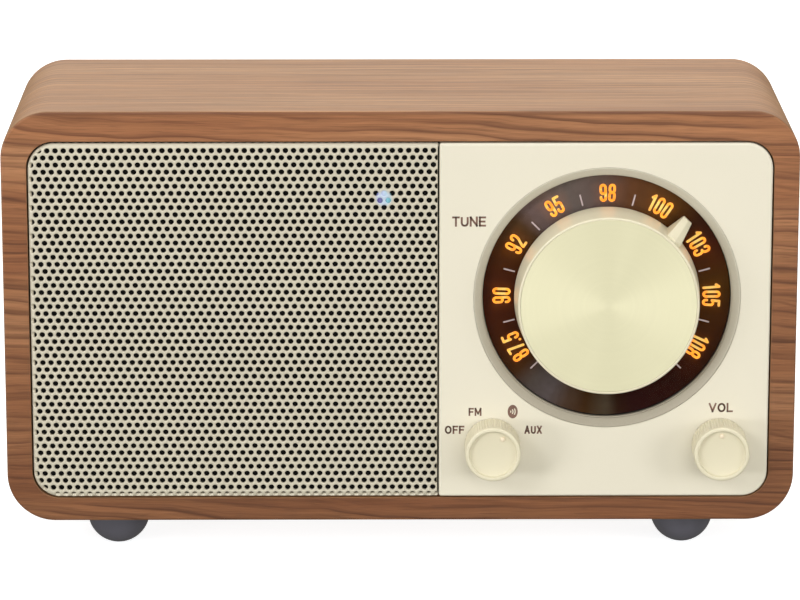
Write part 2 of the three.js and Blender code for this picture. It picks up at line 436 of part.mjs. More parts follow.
caseScrews.forEach(([x, z], i) => {
  part('case_screw_' + (i + 1), (() => {
    let s = turned([
      [0, 19], [1.1, 20.4], [1.1, coverY1 - 1.48], [2.6, coverY1 - 1.48], [2.6, coverY1 - 0.7], [1.7, coverY1 - 0.25], [0, coverY1 - 0.2]], 12, x, z);
    s = s.subtract(box(x - 1.3, x + 1.3, coverY1 - 0.9, coverY1 + 1, z - 0.25, z + 0.25));
    return s.subtract(box(x - 0.25, x + 0.25, coverY1 - 0.9, coverY1 + 1, z - 1.3, z + 1.3));
  })(), 'steel');
});
{
  let b = plate(rounded(-32, 42, 21, 71, 1), boardRearY0, boardRearY1, 2);
  for (const [x, z] of boardScrews) b = b.subtract(rodY(x, z, 1.2, boardRearY0 - 1, boardRearY1 + 1, 12));
  b = b.add(box(14, 26, boardRearY0 - 2.4, boardRearY0 + 0.1, 60, 64));   // flat-cable socket
  b = b.add(box(30, 38, boardRearY0 - 1.6, boardRearY0 + 0.1, 46, 54));   // amplifier
  part('main_board', b, 'board');
}
boardScrews.forEach(([x, z], i) => {
  part('board_screw_' + (i + 1), turned([
    [0, 27], [0.8, 26.4], [0.8, boardRearY0 - 0.12], [2, boardRearY0 - 0.12], [1.9, boardRearY0 - 0.9], [1, boardRearY0 - 1.4], [0, boardRearY0 - 1.5]], 12, x, z), 'steel');
});
part('radio_module', box(-24, -8, boardRearY0 - 2.6, boardRearY0 - 0.12, 46, 62), 'steel');
part('filter_capacitor', turned([
  [0, boardRearY0 - 0.15], [4, boardRearY0 - 0.15], [4, boardRearY0 - 7.4], [3.6, boardRearY0 - 7.9], [0, boardRearY0 - 7.9]], 20, 4, 56), 'black');
{
  let u = box(USB[0] - 4.2, USB[0] + 4.2, boardRearY1 + 0.12, coverY1 - 1.4, USB[1] - 1.45, USB[1] + 1.45);
  u = u.subtract(box(USB[0] - 3.7, USB[0] + 3.7, boardRearY1 + 2, coverY1, USB[1] - 1.05, USB[1] + 1.05));
  u = u.add(box(USB[0] - 2.6, USB[0] + 2.6, boardRearY1 + 1.9, coverY1 - 2, USB[1] - 0.25, USB[1] + 0.35));
  part('usb_power_socket', u, 'steel');
  let a = box(AUX[0] - 5, AUX[0] + 5, boardRearY1 + 0.12, coverY0 - 0.3, AUX[1] - 3.2, AUX[1] + 3.2);
  a = a.add(rodY(AUX[0], AUX[1], 2.9, coverY0 - 1, coverY1 - 1.3, 20));
  a = a.subtract(rodY(AUX[0], AUX[1], 1.78, boardRearY1 + 1, coverY1 + 1, 20));
  part('aux_socket', a, 'black');
}
{
  const g = new THREE.CylinderGeometry(9, 9, 62, 28);
  g.rotateZ(Math.PI / 2); g.translate(33, 4.6, 26.5);
  part('battery_cell', solid(g), 'cell');
  let h = box(4, 62, -5, 14.4, boreZ0 + 0.2, 26);
  const hole = new THREE.CylinderGeometry(9.25, 9.25, 80, 28);
  hole.rotateZ(Math.PI / 2); hole.translate(33, 4.6, 26.5);
  h = h.subtract(solid(hole));
  part('battery_cradle', h, 'black');
}
part('ribbon_cable', (() => {
  const s = new THREE.Shape();
  s.moveTo(-3.6, 62.6); s.lineTo(10, 67); s.lineTo(19.2, 62.6); s.lineTo(19.2, 61.9); s.lineTo(10, 66.2); s.lineTo(-3.6, 61.9);
  const g = new THREE.ExtrudeGeometry(s, { depth: 10, bevelEnabled: false });
  // Drawn in Y and Z, extruded along X.
  const m = new THREE.Matrix4().set(0, 0, 1, 15, 1, 0, 0, 0, 0, 1, 0, 0, 0, 0, 0, 1);
  g.applyMatrix4(m);
  return solid(g);
})(), 'wire');
part('speaker_lead', wire([
  [SPK_X + 22, -7, SPK_Z - 15], [SPK_X + 24.5, -4, SPK_Z - 16], [SPK_X + 25, 4, SPK_Z - 17], [SPK_X + 18, 13, SPK_Z - 16], [SPK_X + 10, 17.5, SPK_Z - 12], [-20, 19.5, 39], [-19, 21.2, 40]], 0.8, 18, 6), 'wire');
part('antenna_wire', wire([
  [28, 20.8, 68], [28, 18, 71], [26, 14, 75], [20, 10, 77.6], [0, 8, 77.9], [-30, 8, 77.9], [-56, 8, 77.8], [-65.5, 8, 75], [-68, 8, 68], [-68.2, 8, 50], [-68.2, 8, 30]], 0.6, 34, 6), 'wire');

export default radio;
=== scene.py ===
import math
import bpy
import bmesh
from mathutils import Matrix, Vector

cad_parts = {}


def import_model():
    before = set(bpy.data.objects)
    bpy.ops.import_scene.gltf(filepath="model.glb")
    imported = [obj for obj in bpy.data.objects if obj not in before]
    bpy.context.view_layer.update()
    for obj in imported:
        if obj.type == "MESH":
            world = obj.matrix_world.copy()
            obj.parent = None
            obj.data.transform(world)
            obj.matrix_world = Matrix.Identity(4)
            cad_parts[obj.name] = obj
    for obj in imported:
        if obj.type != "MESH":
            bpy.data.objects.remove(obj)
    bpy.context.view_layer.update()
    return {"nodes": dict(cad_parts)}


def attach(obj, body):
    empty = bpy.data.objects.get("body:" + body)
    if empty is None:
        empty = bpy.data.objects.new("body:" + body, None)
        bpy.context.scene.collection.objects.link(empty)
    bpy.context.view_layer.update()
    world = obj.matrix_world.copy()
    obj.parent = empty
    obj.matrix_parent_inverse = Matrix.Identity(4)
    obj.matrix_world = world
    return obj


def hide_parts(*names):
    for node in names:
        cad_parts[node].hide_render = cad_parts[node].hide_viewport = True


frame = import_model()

MM = 0.001
NODES = frame["nodes"]

# ------------------------------------------------------------------ the radio's main sizes (mm, as in the CAD part)
W, H, DEPTH, ZB = 153.0, 81.3, 54.0, 8.0
YF = -23.2; YB = YF + DEPTH; ZT = ZB + H; R_OUT = 9.3
OPEN_W = 143.2; OPEN_Z0 = ZB + 4.6; OPEN_Z1 = ZB + 75.4; OPEN_R = 5.3; STEP = 2.2
FACE_Y = YF - 0.3; FASCIA_T = 3.0; SPLIT_X = 7.3
DIAL_X, DIAL_Z = 39.8, ZB + 44.6
DIAL_R_OUT, DIAL_R_IN, DIAL_DEPTH = 25.8, 24.0, 1.3
WINDOW_Y = FACE_Y + DIAL_DEPTH
KNOB_R_BASE, KNOB_R_FACE, KNOB_PROUD = 17.9, 17.4, 6.6
MODE_X, VOL_X, SMALL_Z, SMALL_PROUD = 17.8, 61.9, ZB + 15.35, 7.3
SMALL_R, SMALL_R_FACE = 5.55, 5.15
LED_X, LED_Z, LED_R = -3.2, ZB + 64.35, 1.35
FOOT_X, FOOT_YF, FOOT_YB, FOOT_R = 55.7, -10.2, 17.8, 6.1


# ------------------------------------------------------------------ materials
class Mat:
    """A Principled material with a few short-hands for procedural nodes. Coordinates are the object's own, in metres."""

    def __init__(self, name, color=(0.8, 0.8, 0.8), rough=0.5, metal=0.0, **sockets):
        self.m = bpy.data.materials.new(name)
        self.m.use_nodes = True
        self.t = self.m.node_tree
        self.bsdf = self.t.nodes["Principled BSDF"]
        self.set("Base Color", (*color, 1.0) if len(color) == 3 else color)
        self.set("Roughness", rough)
        self.set("Metallic", metal)
        for k, v in sockets.items():
            self.set(k.replace("_", " "), v)
        self._pos = None

    def set(self, socket, value):
        self.bsdf.inputs[socket].default_value = value

    def n(self, kind, **props):
        node = self.t.nodes.new(kind)
        for k, v in props.items():
            setattr(node, k, v)
        return node

    def link(self, a, b):
        self.t.links.new(a, b)
        return b

    @property
    def pos(self):
        if self._pos is None:
            self._pos = self.n("ShaderNodeTexCoord").outputs["Object"]
        return self._pos

    def mapped(self, scale, offset=(0, 0, 0), rot=(0, 0, 0), src=None):
        m = self.n("ShaderNodeMapping")
        m.inputs["Scale"].default_value = scale
        m.inputs["Location"].default_value = offset
        m.inputs["Rotation"].default_value = rot
        self.link(src or self.pos, m.inputs["Vector"])
        return m.outputs["Vector"]

    def noise(self, scale, stretch=(1, 1, 1), detail=2.0, rough=0.5, distortion=0.0, offset=(0, 0, 0), src=None):
        t = self.n("ShaderNodeTexNoise")
        t.inputs["Scale"].default_value = scale
        t.inputs["Detail"].default_value = detail
        t.inputs["Roughness"].default_value = rough
        t.inputs["Distortion"].default_value = distortion
        self.link(self.mapped(stretch, offset, src=src), t.inputs["Vector"])
        return t.outputs["Fac"]

    def ramp(self, fac, stops, interp="LINEAR"):
        r = self.n("ShaderNodeValToRGB")
        e = r.color_ramp.elements
        r.color_ramp.interpolation = interp
        while len(e) < len(stops):
            e.new(0.5)
        for i, (p, c) in enumerate(stops):
            e[i].position = p
            e[i].color = (*c, 1) if isinstance(c, (tuple, list)) else (c, c, c, 1)
        self.link(fac, r.inputs["Fac"])
        return r.outputs["Color"]

    def range(self, fac, a, b, lo, hi, smooth=False):
        r = self.n("ShaderNodeMapRange")
        if smooth:
            r.interpolation_type = "SMOOTHSTEP"
        r.inputs["From Min"].default_value = a
        r.inputs["From Max"].default_value = b
        r.inputs["To Min"].default_value = lo
        r.inputs["To Max"].default_value = hi
        self.link(fac, r.inputs["Value"])
        return r.outputs["Result"]

    def math(self, op, a, b=None, c=None, clamp=False):
        m = self.n("ShaderNodeMath", operation=op, use_clamp=clamp)
        for i, v in enumerate((a, b, c)):
            if v is None:
                continue
            if isinstance(v, (int, float)):
                m.inputs[i].default_value = v
            else:
                self.link(v, m.inputs[i])
        return m.outputs[0]

    def mix(self, fac, a, b, mode="MIX"):
        m = self.n("ShaderNodeMix", data_type="RGBA", blend_type=mode)
        for socket, v in ((m.inputs[0], fac), (m.inputs[6], a), (m.inputs[7], b)):
            if isinstance(v, (int, float)):
                socket.default_value = v
            elif isinstance(v, (tuple, list)):
                socket.default_value = (*v, 1.0) if len(v) == 3 else v
            else:
                self.link(v, socket)
        return m.outputs[2]

    def xyz(self):
        s = self.n("ShaderNodeSeparateXYZ")
        self.link(self.pos, s.inputs[0])
        return s.outputs[0], s.outputs[1], s.outputs[2]

    def bump(self, *layers):
        """Each layer is (height socket, distance in metres, strength)."""
        last = None
        for height, distance, strength in layers:
            b = self.n("ShaderNodeBump")
            b.inputs["Distance"].default_value = distance
            b.inputs["Strength"].default_value = strength
            self.link(height, b.inputs["Height"])
            if last is not None:
                self.link(last, b.inputs["Normal"])
            last = b.outputs["Normal"]
        self.link(last, self.bsdf.inputs["Normal"])
        return self

    def base(self, socket):
        self.link(socket, self.bsdf.inputs["Base Color"])
        return self

    def roughness(self, socket):
        self.link(socket, self.bsdf.inputs["Roughness"])
        return self


def moulded(name, color, rough, vary=0.03, grain=2500, depth=4e-6, blotch=60, metal=0.0, **sockets):
    """Moulded or painted surface: faint mottling, a fine grain in the gloss and a very fine orange peel."""
    m = Mat(name, color, rough, metal, **sockets)
    big = m.noise(blotch, detail=3)
    fine = m.noise(grain, detail=2)
    lo = tuple(max(0.0, c * (1 - vary)) for c in color)
    hi = tuple(min(1.0, c * (1 + vary)) for c in color)
    m.base(m.ramp(big, [(0.3, lo), (0.7, hi)]))
    m.roughness(m.range(fine, 0.3, 0.7, rough * 0.88, min(1.0, rough * 1.12)))
    m.bump((fine, depth, 1.0))
    return m.m


def walnut():
    """Walnut veneer. The 'grain' attribute holds the place along the grain, the place across it and the kind of face: 0 front and back, 1 round the outside."""
    m = Mat("walnut_wood", (0.30, 0.13, 0.062), 0.45, Specular_IOR_Level=0.42)
    at = m.n("ShaderNodeAttribute", attribute_name="grain")
    sep = m.n("ShaderNodeSeparateXYZ"); m.link(at.outputs["Vector"], sep.inputs[0])
    u, v, kind = sep.outputs

    def field(su, sv, detail=2.0, rough=0.5, shift=0.0):
        c = m.n("ShaderNodeCombineXYZ")
        m.link(m.math("MULTIPLY", u, su), c.inputs[0])
        m.link(m.math("MULTIPLY_ADD", v, sv, shift), c.inputs[1])
        m.link(m.math("MULTIPLY", kind, 17.3), c.inputs[2])
        t = m.n("ShaderNodeTexNoise"); t.inputs["Scale"].default_value = 1.0
        t.inputs["Detail"].default_value = detail; t.inputs["Roughness"].default_value = rough
        m.link(c.outputs[0], t.inputs["Vector"])
        return t.outputs["Fac"]

    # Growth rings: level lines of a slowly warped field, dark at one side of each ring and fading to the other.
    warp = m.math("MULTIPLY", m.math("SUBTRACT", field(9, 34, 2, 0.45, 4.4), 0.5), m.range(kind, 0, 1, 5.5, 2.2))
    ripple = m.math("MULTIPLY", m.math("SUBTRACT", field(42, 160, 2, 0.5, 9.1), 0.5), 1.1)
    per_m = m.range(kind, 0, 1, 400, 430)
    f = m.math("ADD", m.math("ADD", m.math("MULTIPLY", v, per_m), m.math("MULTIPLY", u, m.range(kind, 0, 1, 25.0, 1.5))), m.math("ADD", warp, ripple))
    ring = m.math("FRACT", f)
    dark = m.ramp(ring, [(0.0, 0.70), (0.05, 1.0), (0.12, 0.70), (0.28, 0.28), (0.55, 0.08), (0.86, 0.0), (0.96, 0.20), (1.0, 0.70)])
    # Rings differ in strength and fade along their length.
    strong = m.range(field(14, 130, 2, 0.55, 2.7), 0.36, 0.56, 0.14, 1.0, smooth=True)
    strong = m.math("MULTIPLY", strong, m.range(kind, 0, 1, 1.0, 0.42))
    along = m.n("ShaderNodeCombineXYZ")                    # fine lines follow the rings
    m.link(m.math("MULTIPLY", u, 26), along.inputs[0])
    m.link(m.math("MULTIPLY", f, 3.0), along.inputs[1])
    m.link(m.math("MULTIPLY_ADD", kind, 17.3, 1.3), along.inputs[2])
    lines = m.n("ShaderNodeTexNoise"); lines.inputs["Scale"].default_value = 1.0
    lines.inputs["Detail"].default_value = 3; lines.inputs["Roughness"].default_value = 0.66
    m.link(along.outputs[0], lines.inputs["Vector"])
    fine = lines.outputs["Fac"]
    fibre = field(75, 3300, 2, 0.62, 6.1)
    broad = field(9, 75, 2, 0.5, 3.3)
    broad = m.mix(m.math("MULTIPLY", kind, 0.6), broad, (0.5, 0.5, 0.5))
    body = m.ramp(broad, [(0.30, (0.285, 0.112, 0.044)), (0.50, (0.350, 0.158, 0.068)), (0.72, (0.430, 0.222, 0.108))])
    c = m.mix(m.math("MULTIPLY", m.math("MULTIPLY", dark, strong), 0.76), body, (0.100, 0.030, 0.011))
    c = m.mix(1.0, c, m.ramp(fine, [(0.28, (0.60, 0.55, 0.50)), (0.46, (0.95, 0.945, 0.94)), (0.70, (1.20, 1.22, 1.24))]), "MULTIPLY")
    c = m.mix(1.0, c, m.ramp(fibre, [(0.30, (0.86, 0.845, 0.83)), (0.70, (1.12, 1.125, 1.13))]), "MULTIPLY")
    streak = m.ramp(field(7, 520, 2, 0.6, 5.5), [(0.32, (0.83, 0.81, 0.79)), (0.50, (0.99, 0.99, 0.99)), (0.68, (1.13, 1.14, 1.15))])
    c = m.mix(kind, c, m.mix(1.0, c, streak, "MULTIPLY"))
    pore = m.ramp(field(210, 5200, 1, 0.5, 8.2), [(0.0, 0.0), (0.60, 0.0), (0.68, 1.0)])
    c = m.mix(m.math("MULTIPLY", pore, 0.28), c, (0.10, 0.04, 0.018))
    # Painted shade: the front is made darker and redder towards the bottom. Painted light: the outside faces are made
    # paler and greyer than the front. A burnished line at the top front arris.
    _, _, z = m.xyz()
    front = m.math("SUBTRACT", 1.0, kind)
    # Painted shade: darker and redder from the top of the front down to the bottom.
    low = m.math("MULTIPLY", m.range(z, 0.0850, 0.0080, 0.0, 1.0), front)
    c = m.mix(low, c, m.mix(1.0, c, (0.60, 0.555, 0.52), "MULTIPLY"))
    # Painted light: the front darker and redder, the outside faces paler and greyer, standing in for the light and
    # sheen on the top face.
    c = m.mix(front, c, m.mix(1.0, c, (0.965, 0.885, 0.835), "MULTIPLY"))
    c = m.mix(kind, c, m.mix(1.0, c, (1.14, 1.29, 1.37), "MULTIPLY"))
    edge = m.math("MULTIPLY", m.range(z, 0.0882, 0.0889, 0.0, 1.0, smooth=True), m.math("SUBTRACT", 1.0, kind))
    c = m.mix(m.math("MULTIPLY", edge, 0.55), c, (0.12, 0.042, 0.018))
    m.base(c)
    m.roughness(m.range(fibre, 0.3, 0.7, 0.40, 0.54))
    m.bump((fibre, 1.2e-5, 0.8), (pore, -1.5e-5, 0.6))
    return m.m


def rubber():
    m = Mat("foot_rubber", (0.088, 0.086, 0.104), 0.62, Specular_IOR_Level=0.45)
    big, fine = m.noise(120, detail=3), m.noise(3500, detail=2)
    m.base(m.ramp(big, [(0.3, (0.082, 0.080, 0.100)), (0.7, (0.108, 0.105, 0.132))]))
    m.roughness(m.range(big, 0.3, 0.7, 0.55, 0.70))
    m.bump((fine, 1e-5, 1.0))
    return m.m


def spun(name, color, rough, metal, aniso):
    """Spun metal: concentric tool marks about Y, so that its gloss gathers into wedges."""
    m = Mat(name, color, rough, metal, Anisotropic=aniso)
    t = m.n("ShaderNodeTangent", direction_type="RADIAL", axis="Y")
    m.link(t.outputs[0], m.bsdf.inputs["Tangent"])
    x, _, z = m.xyz()
    dx, dz = m.math("SUBTRACT", x, DIAL_X * MM), m.math("SUBTRACT", z, DIAL_Z * MM)
    r = m.math("SQRT", m.math("ADD", m.math("MULTIPLY", dx, dx), m.math("MULTIPLY", dz, dz)))
    ring = m.n("ShaderNodeCombineXYZ"); m.link(r, ring.inputs[0])
    marks = m.noise(9000, detail=3, rough=0.7, src=ring.outputs[0])
    coarse = m.noise(1200, detail=2, rough=0.6, src=ring.outputs[0])
    m.base(m.mix(1.0, m.ramp(marks, [(0.3, tuple(c * 0.965 for c in color)), (0.7, tuple(min(1, c * 1.02) for c in color))]),
                 m.ramp(coarse, [(0.3, (0.985, 0.985, 0.985)), (0.7, (1.01, 1.01, 1.01))]), "MULTIPLY"))
    m.roughness(m.range(marks, 0.3, 0.7, rough * 0.9, rough * 1.12))
    m.bump((marks, 2e-6, 0.5))
    return m.m


def polar(m):
    """Radius in mm and clockwise angle in turns (0 at the top, from 0 to 1) about the dial's axis."""
    x, _, z = m.xyz()
    dx = m.math("MULTIPLY", m.math("SUBTRACT", x, DIAL_X * MM), 1000.0)
    dz = m.math("MULTIPLY", m.math("SUBTRACT", z, DIAL_Z * MM), 1000.0)
    r = m.math("SQRT", m.math("ADD", m.math("MULTIPLY", dx, dx), m.math("MULTIPLY", dz, dz)))
    turn = m.math("DIVIDE", m.math("ARCTAN2", dx, dz), 2 * math.pi)       # -0.5 .. 0.5
    return r, m.math("ADD", turn, 0.5)                                      # 0 at the bottom, 0.5 at the top


def dial_print():
    """Dark brown back-printed dial, with painted reflections: greyer towards the bottom and the upper left, where the
    window's reflection is painted into the colour; warm where the figures let light through.
    """
    m = Mat("dial_print", (0.05, 0.012, 0.004), 0.30, Specular_IOR_Level=0.04)
    r, turn = polar(m)
    # The dial's dark brown print, with painted reflections: the grey-blue patches at the bottom and the upper left
    # stand in for the window's reflection.
    print_and_painted_reflection = m.ramp(turn, [
        (0.000, (0.056, 0.039, 0.022)), (0.028, (0.038, 0.013, 0.000)), (0.056, (0.063, 0.035, 0.021)), (0.083, (0.094, 0.074, 0.074)),
        (0.111, (0.078, 0.059, 0.051)), (0.136, (0.055, 0.018, 0.002)), (0.167, (0.051, 0.011, 0.000)), (0.194, (0.048, 0.009, 0.000)),
        (0.236, (0.052, 0.008, 0.000)), (0.278, (0.050, 0.009, 0.000)), (0.319, (0.061, 0.016, 0.000)), (0.361, (0.066, 0.030, 0.009)),
        (0.383, (0.118, 0.078, 0.072)), (0.411, (0.133, 0.087, 0.072)), (0.444, (0.109, 0.085, 0.075)), (0.472, (0.107, 0.075, 0.065)),
        (0.500, (0.095, 0.056, 0.043)), (0.533, (0.098, 0.037, 0.013)), (0.569, (0.093, 0.034, 0.007)), (0.606, (0.073, 0.025, 0.001)),
        (0.639, (0.040, 0.008, 0.000)), (0.672, (0.052, 0.008, 0.000)), (0.700, (0.060, 0.014, 0.000)), (0.733, (0.065, 0.024, 0.000)),
        (0.772, (0.057, 0.016, 0.000)), (0.811, (0.046, 0.011, 0.000)), (0.861, (0.041, 0.007, 0.000)), (0.894, (0.023, 0.003, 0.000)),
        (0.961, (0.018, 0.001, 0.000)), (0.983, (0.021, 0.005, 0.000)), (1.000, (0.056, 0.039, 0.022))], "LINEAR")
    fine = m.noise(900, detail=2)
    m.base(m.mix(1.0, print_and_painted_reflection, m.ramp(fine, [(0.3, (1.06, 1.06, 1.06)), (0.7, (1.20, 1.20, 1.20))]), "MULTIPLY"))
    m.roughness(m.range(fine, 0.3, 0.7, 0.24, 0.32))
    # Glow of the lamps behind the figures: nine patches, 30 degrees apart, from -120 to +120.
    step = m.math("SUBTRACT", m.math("MULTIPLY", turn, 12.0), 2.0)
    off = m.math("ABSOLUTE", m.math("SUBTRACT", step, m.math("ROUND", step)))
    across = m.range(off, 0.16, 0.34, 1.0, 0.0, smooth=True)
    radial = m.range(m.math("ABSOLUTE", m.math("SUBTRACT", r, 20.3)), 1.3, 2.6, 1.0, 0.0, smooth=True)
    inside = m.math("MULTIPLY", m.math("GREATER_THAN", turn, 0.135), m.math("LESS_THAN", turn, 0.865))
    glow = m.math("MULTIPLY", m.math("MULTIPLY", across, radial), inside)
    m.set("Emission Color", (1.0, 0.25, 0.03, 1.0))
    m.link(m.math("MULTIPLY", glow, 0.035), m.bsdf.inputs["Emission Strength"])
    return m.m


def bezel_satin():
    """Satin moulded ring, with painted shade: darker towards its foot."""
    m = Mat("bezel_satin", (0.57, 0.53, 0.43), 0.46, Specular_IOR_Level=0.4)
    fine = m.noise(2500, detail=2)
    _, _, z = m.xyz()
    paint = m.ramp(fine, [(0.3, (0.565, 0.525, 0.425)), (0.7, (0.585, 0.545, 0.442))])
    # Painted shade: the ring is darkened towards its foot.
    foot = m.range(z, (DIAL_Z - 24) * MM, (DIAL_Z + 4) * MM, 1.0, 0.0, smooth=True)
    m.base(m.mix(foot, paint, m.mix(1.0, paint, (0.72, 0.70, 0.68), "MULTIPLY")))
    m.roughness(m.range(fine, 0.3, 0.7, 0.42, 0.50))
    m.bump((fine, 5e-7, 1.0))
    return m.m


def lit_figures():
    m = Mat("dial_figures", (0.9, 0.45, 0.1), 0.4)
    spots = m.noise(700, detail=2)
    m.base(m.ramp(spots, [(0.3, (1.0, 0.62, 0.13)), (0.7, (1.0, 0.74, 0.22))]))
    m.link(m.ramp(spots, [(0.3, (1.0, 0.45, 0.060)), (0.7, (1.0, 0.58, 0.110))]), m.bsdf.inputs["Emission Color"])
    m.set("Emission Strength", 0.34)
    return m.m


def printed(name, color, rough=0.55):
    return moulded(name, color, rough, vary=0.10, grain=6000, depth=2e-6, blotch=500)


def perforated_metal():
    """Painted perforated sheet, with the light's glare on the webs round the lens."""
    m = Mat("grille_metal", (0.72, 0.66, 0.515), 0.44, 0.15, Specular_IOR_Level=0.5)
    big, fine = m.noise(35, detail=3), m.noise(2600, detail=3)
    paint = m.ramp(big, [(0.3, (0.590, 0.542, 0.432)), (0.7, (0.615, 0.566, 0.452))])
    m.roughness(m.range(fine, 0.3, 0.7, 0.38, 0.50))
    m.bump((fine, 4e-6, 1.0))
    x, _, z = m.xyz()
    dx = m.math("MULTIPLY", m.math("SUBTRACT", x, LED_X * MM), 1000.0)
    dz = m.math("MULTIPLY", m.math("SUBTRACT", z, LED_Z * MM), 1000.0)
    r = m.math("SQRT", m.math("ADD", m.math("MULTIPLY", dx, dx), m.math("MULTIPLY", dz, dz)))
    m.link(m.ramp(m.range(dx, -1.5, 1.5, 0, 1), [(0.0, (0.42, 0.38, 0.95)), (0.5, (0.50, 0.62, 0.95)), (1.0, (0.18, 0.70, 0.80))]), m.bsdf.inputs["Emission Color"])
    m.link(m.range(r, 0.8, 1.9, 0.15, 0.0, smooth=True), m.bsdf.inputs["Emission Strength"])
    near = m.range(r, 0.9, 2.0, 0.85, 0.0, smooth=True)
    m.base(m.mix(near, paint, (0.44, 0.54, 0.66)))
    return m.m


def cloth():
    """Woven acoustic cloth."""
    m = Mat("acoustic_cloth", (0.012, 0.012, 0.012), 0.95, Specular_IOR_Level=0.1)
    x, _, z = m.xyz()
    weave = m.math("MULTIPLY", m.math("SINE", m.math("MULTIPLY", x, 9000)), m.math("SINE", m.math("MULTIPLY", z, 9000)))
    m.base(m.ramp(m.range(weave, -1, 1, 0, 1), [(0.2, (0.006, 0.006, 0.006)), (0.8, (0.018, 0.018, 0.018))]))
    m.bump((weave, 3e-5, 1.0))
    return m.m


def status_light():
    """Milky lens lit from behind: lilac at one side, cyan at the other, darker at its foot."""
    m = Mat("status_lens", (0.5, 0.55, 0.6), 0.25, Specular_IOR_Level=0.5)
    x, _, z = m.xyz()
    dx = m.math("MULTIPLY", m.math("SUBTRACT", x, LED_X * MM), 1000.0)
    dz = m.math("MULTIPLY", m.math("SUBTRACT", z, LED_Z * MM), 1000.0)
    lean = m.range(m.math("ADD", dx, m.range(m.noise(900, detail=2), 0.3, 0.7, -0.2, 0.2)), -1.4, 1.4, 0, 1)
    m.base(m.ramp(lean, [(0.0, (0.06, 0.05, 0.12)), (0.45, (0.10, 0.11, 0.16)), (1.0, (0.07, 0.14, 0.16))]))
    foot = m.ramp(lean, [(0.0, (0.05, 0.04, 0.16)), (0.30, (0.085, 0.075, 0.27)), (0.46, (0.02, 0.03, 0.10)), (0.56, (0.02, 0.04, 0.11)), (0.72, (0.19, 0.50, 0.58)), (1.0, (0.06, 0.24, 0.28))])
    head = m.ramp(lean, [(0.0, (0.10, 0.10, 0.30)), (0.45, (0.42, 0.50, 0.66)), (0.75, (0.36, 0.52, 0.60)), (1.0, (0.06, 0.12, 0.16))])
    m.link(m.mix(m.range(dz, -0.1, 0.7, 0, 1, smooth=True), foot, head), m.bsdf.inputs["Emission Color"])
    m.link(m.range(dz, -1.5, -0.5, 0.12, 0.95, smooth=True), m.bsdf.inputs["Emission Strength"])
    return m.m


def brushed(name, color=(0.62, 0.63, 0.65), rough=0.32):
    m = Mat(name, color, rough, 1.0)
    fine = m.noise(1.0, stretch=(300, 3000, 3000), detail=3)
    m.base(m.ramp(fine, [(0.3, tuple(c * 0.85 for c in color)), (0.7, tuple(min(1, c * 1.1) for c in color))]))
    m.roughness(m.range(fine, 0.3, 0.7, rough * 0.8, rough * 1.3))
    m.bump((fine, 3e-6, 0.6))
    return m.m


def board():
    """Green solder mask over a faint pattern of tracks."""
    m = Mat("circuit_board", (0.02, 0.12, 0.05), 0.35, Coat_Weight=0.3, Coat_Roughness=0.2)
    v = m.n("ShaderNodeTexBrick"); v.offset = 0.3
    v.inputs["Scale"].default_value = 1.0; v.inputs["Mortar Size"].default_value = 0.03
    v.inputs["Color1"].default_value = (0.015, 0.095, 0.04, 1); v.inputs["Color2"].default_value = (0.02, 0.12, 0.05, 1); v.inputs["Mortar"].default_value = (0.035, 0.17, 0.07, 1)
    m.link(m.mapped((450, 450, 450), rot=(math.pi / 2, 0, 0)), v.inputs["Vector"])
    m.base(v.outputs["Color"])
    m.roughness(m.range(m.noise(800), 0.3, 0.7, 0.28, 0.42))
    return m.m


def clear():
    m = Mat("clear_window", (0.06, 0.06, 0.065), 0.08, Alpha=0.04, Specular_IOR_Level=0.3)
    m.roughness(m.range(m.noise(200), 0.3, 0.7, 0.05, 0.12))
    return m.m


M = {
    "walnut": walnut(),
    "panel": moulded("cream_panel", (0.765, 0.718, 0.592), 0.38, vary=0.012, grain=2800, depth=3e-6, blotch=25),
    "knob": moulded("cream_knob", (0.745, 0.688, 0.512), 0.36, vary=0.015, grain=2800, depth=3e-6, blotch=60),
    "pip": moulded("pip_print", (0.86, 0.74, 0.56), 0.4, vary=0.03),
    "face": spun("spun_face", (0.862, 0.824, 0.572), 0.24, 0.24, 0.95),
    "bezel": bezel_satin(),
    "dial": dial_print(),
    "figures": lit_figures(),
    "ticks": printed("tick_print", (0.62, 0.50, 0.50)),
    "label": printed("label_print", (0.190, 0.100, 0.072)),
    "grille": perforated_metal(),
    "cloth": cloth(),
    "lens": status_light(),
    "rubber": rubber(),
    "black": moulded("black_plastic", (0.018, 0.018, 0.019), 0.5, vary=0.15, grain=2200, depth=1.2e-5, blotch=80),
    "diffuser": moulded("milky_diffuser", (0.85, 0.84, 0.78), 0.5, vary=0.03),
    "steel": brushed("zinc_steel"),
    "dark_steel": brushed("dark_steel", (0.30, 0.30, 0.31), 0.36),
    "ferrite": moulded("ferrite", (0.04, 0.04, 0.044), 0.7, vary=0.2, grain=1500, depth=1.5e-5),
    "copper": brushed("copper_winding", (0.70, 0.33, 0.15), 0.3),
    "paper": moulded("cone_paper", (0.016, 0.016, 0.016), 0.9, vary=0.25, grain=1200, depth=3e-5),
    "spider": moulded("spider_cloth", (0.55, 0.36, 0.07), 0.9, vary=0.12, grain=2500, depth=4e-5),
    "foam": moulded("foam", (0.02, 0.02, 0.02), 0.95, vary=0.2, grain=1800, depth=4e-5),
    "board": board(),
    "cell": moulded("cell_sleeve", (0.03, 0.16, 0.42), 0.32, vary=0.05),
    "wire": moulded("wire_insulation", (0.26, 0.014, 0.014), 0.45, vary=0.06),
    "clear": clear(),
}


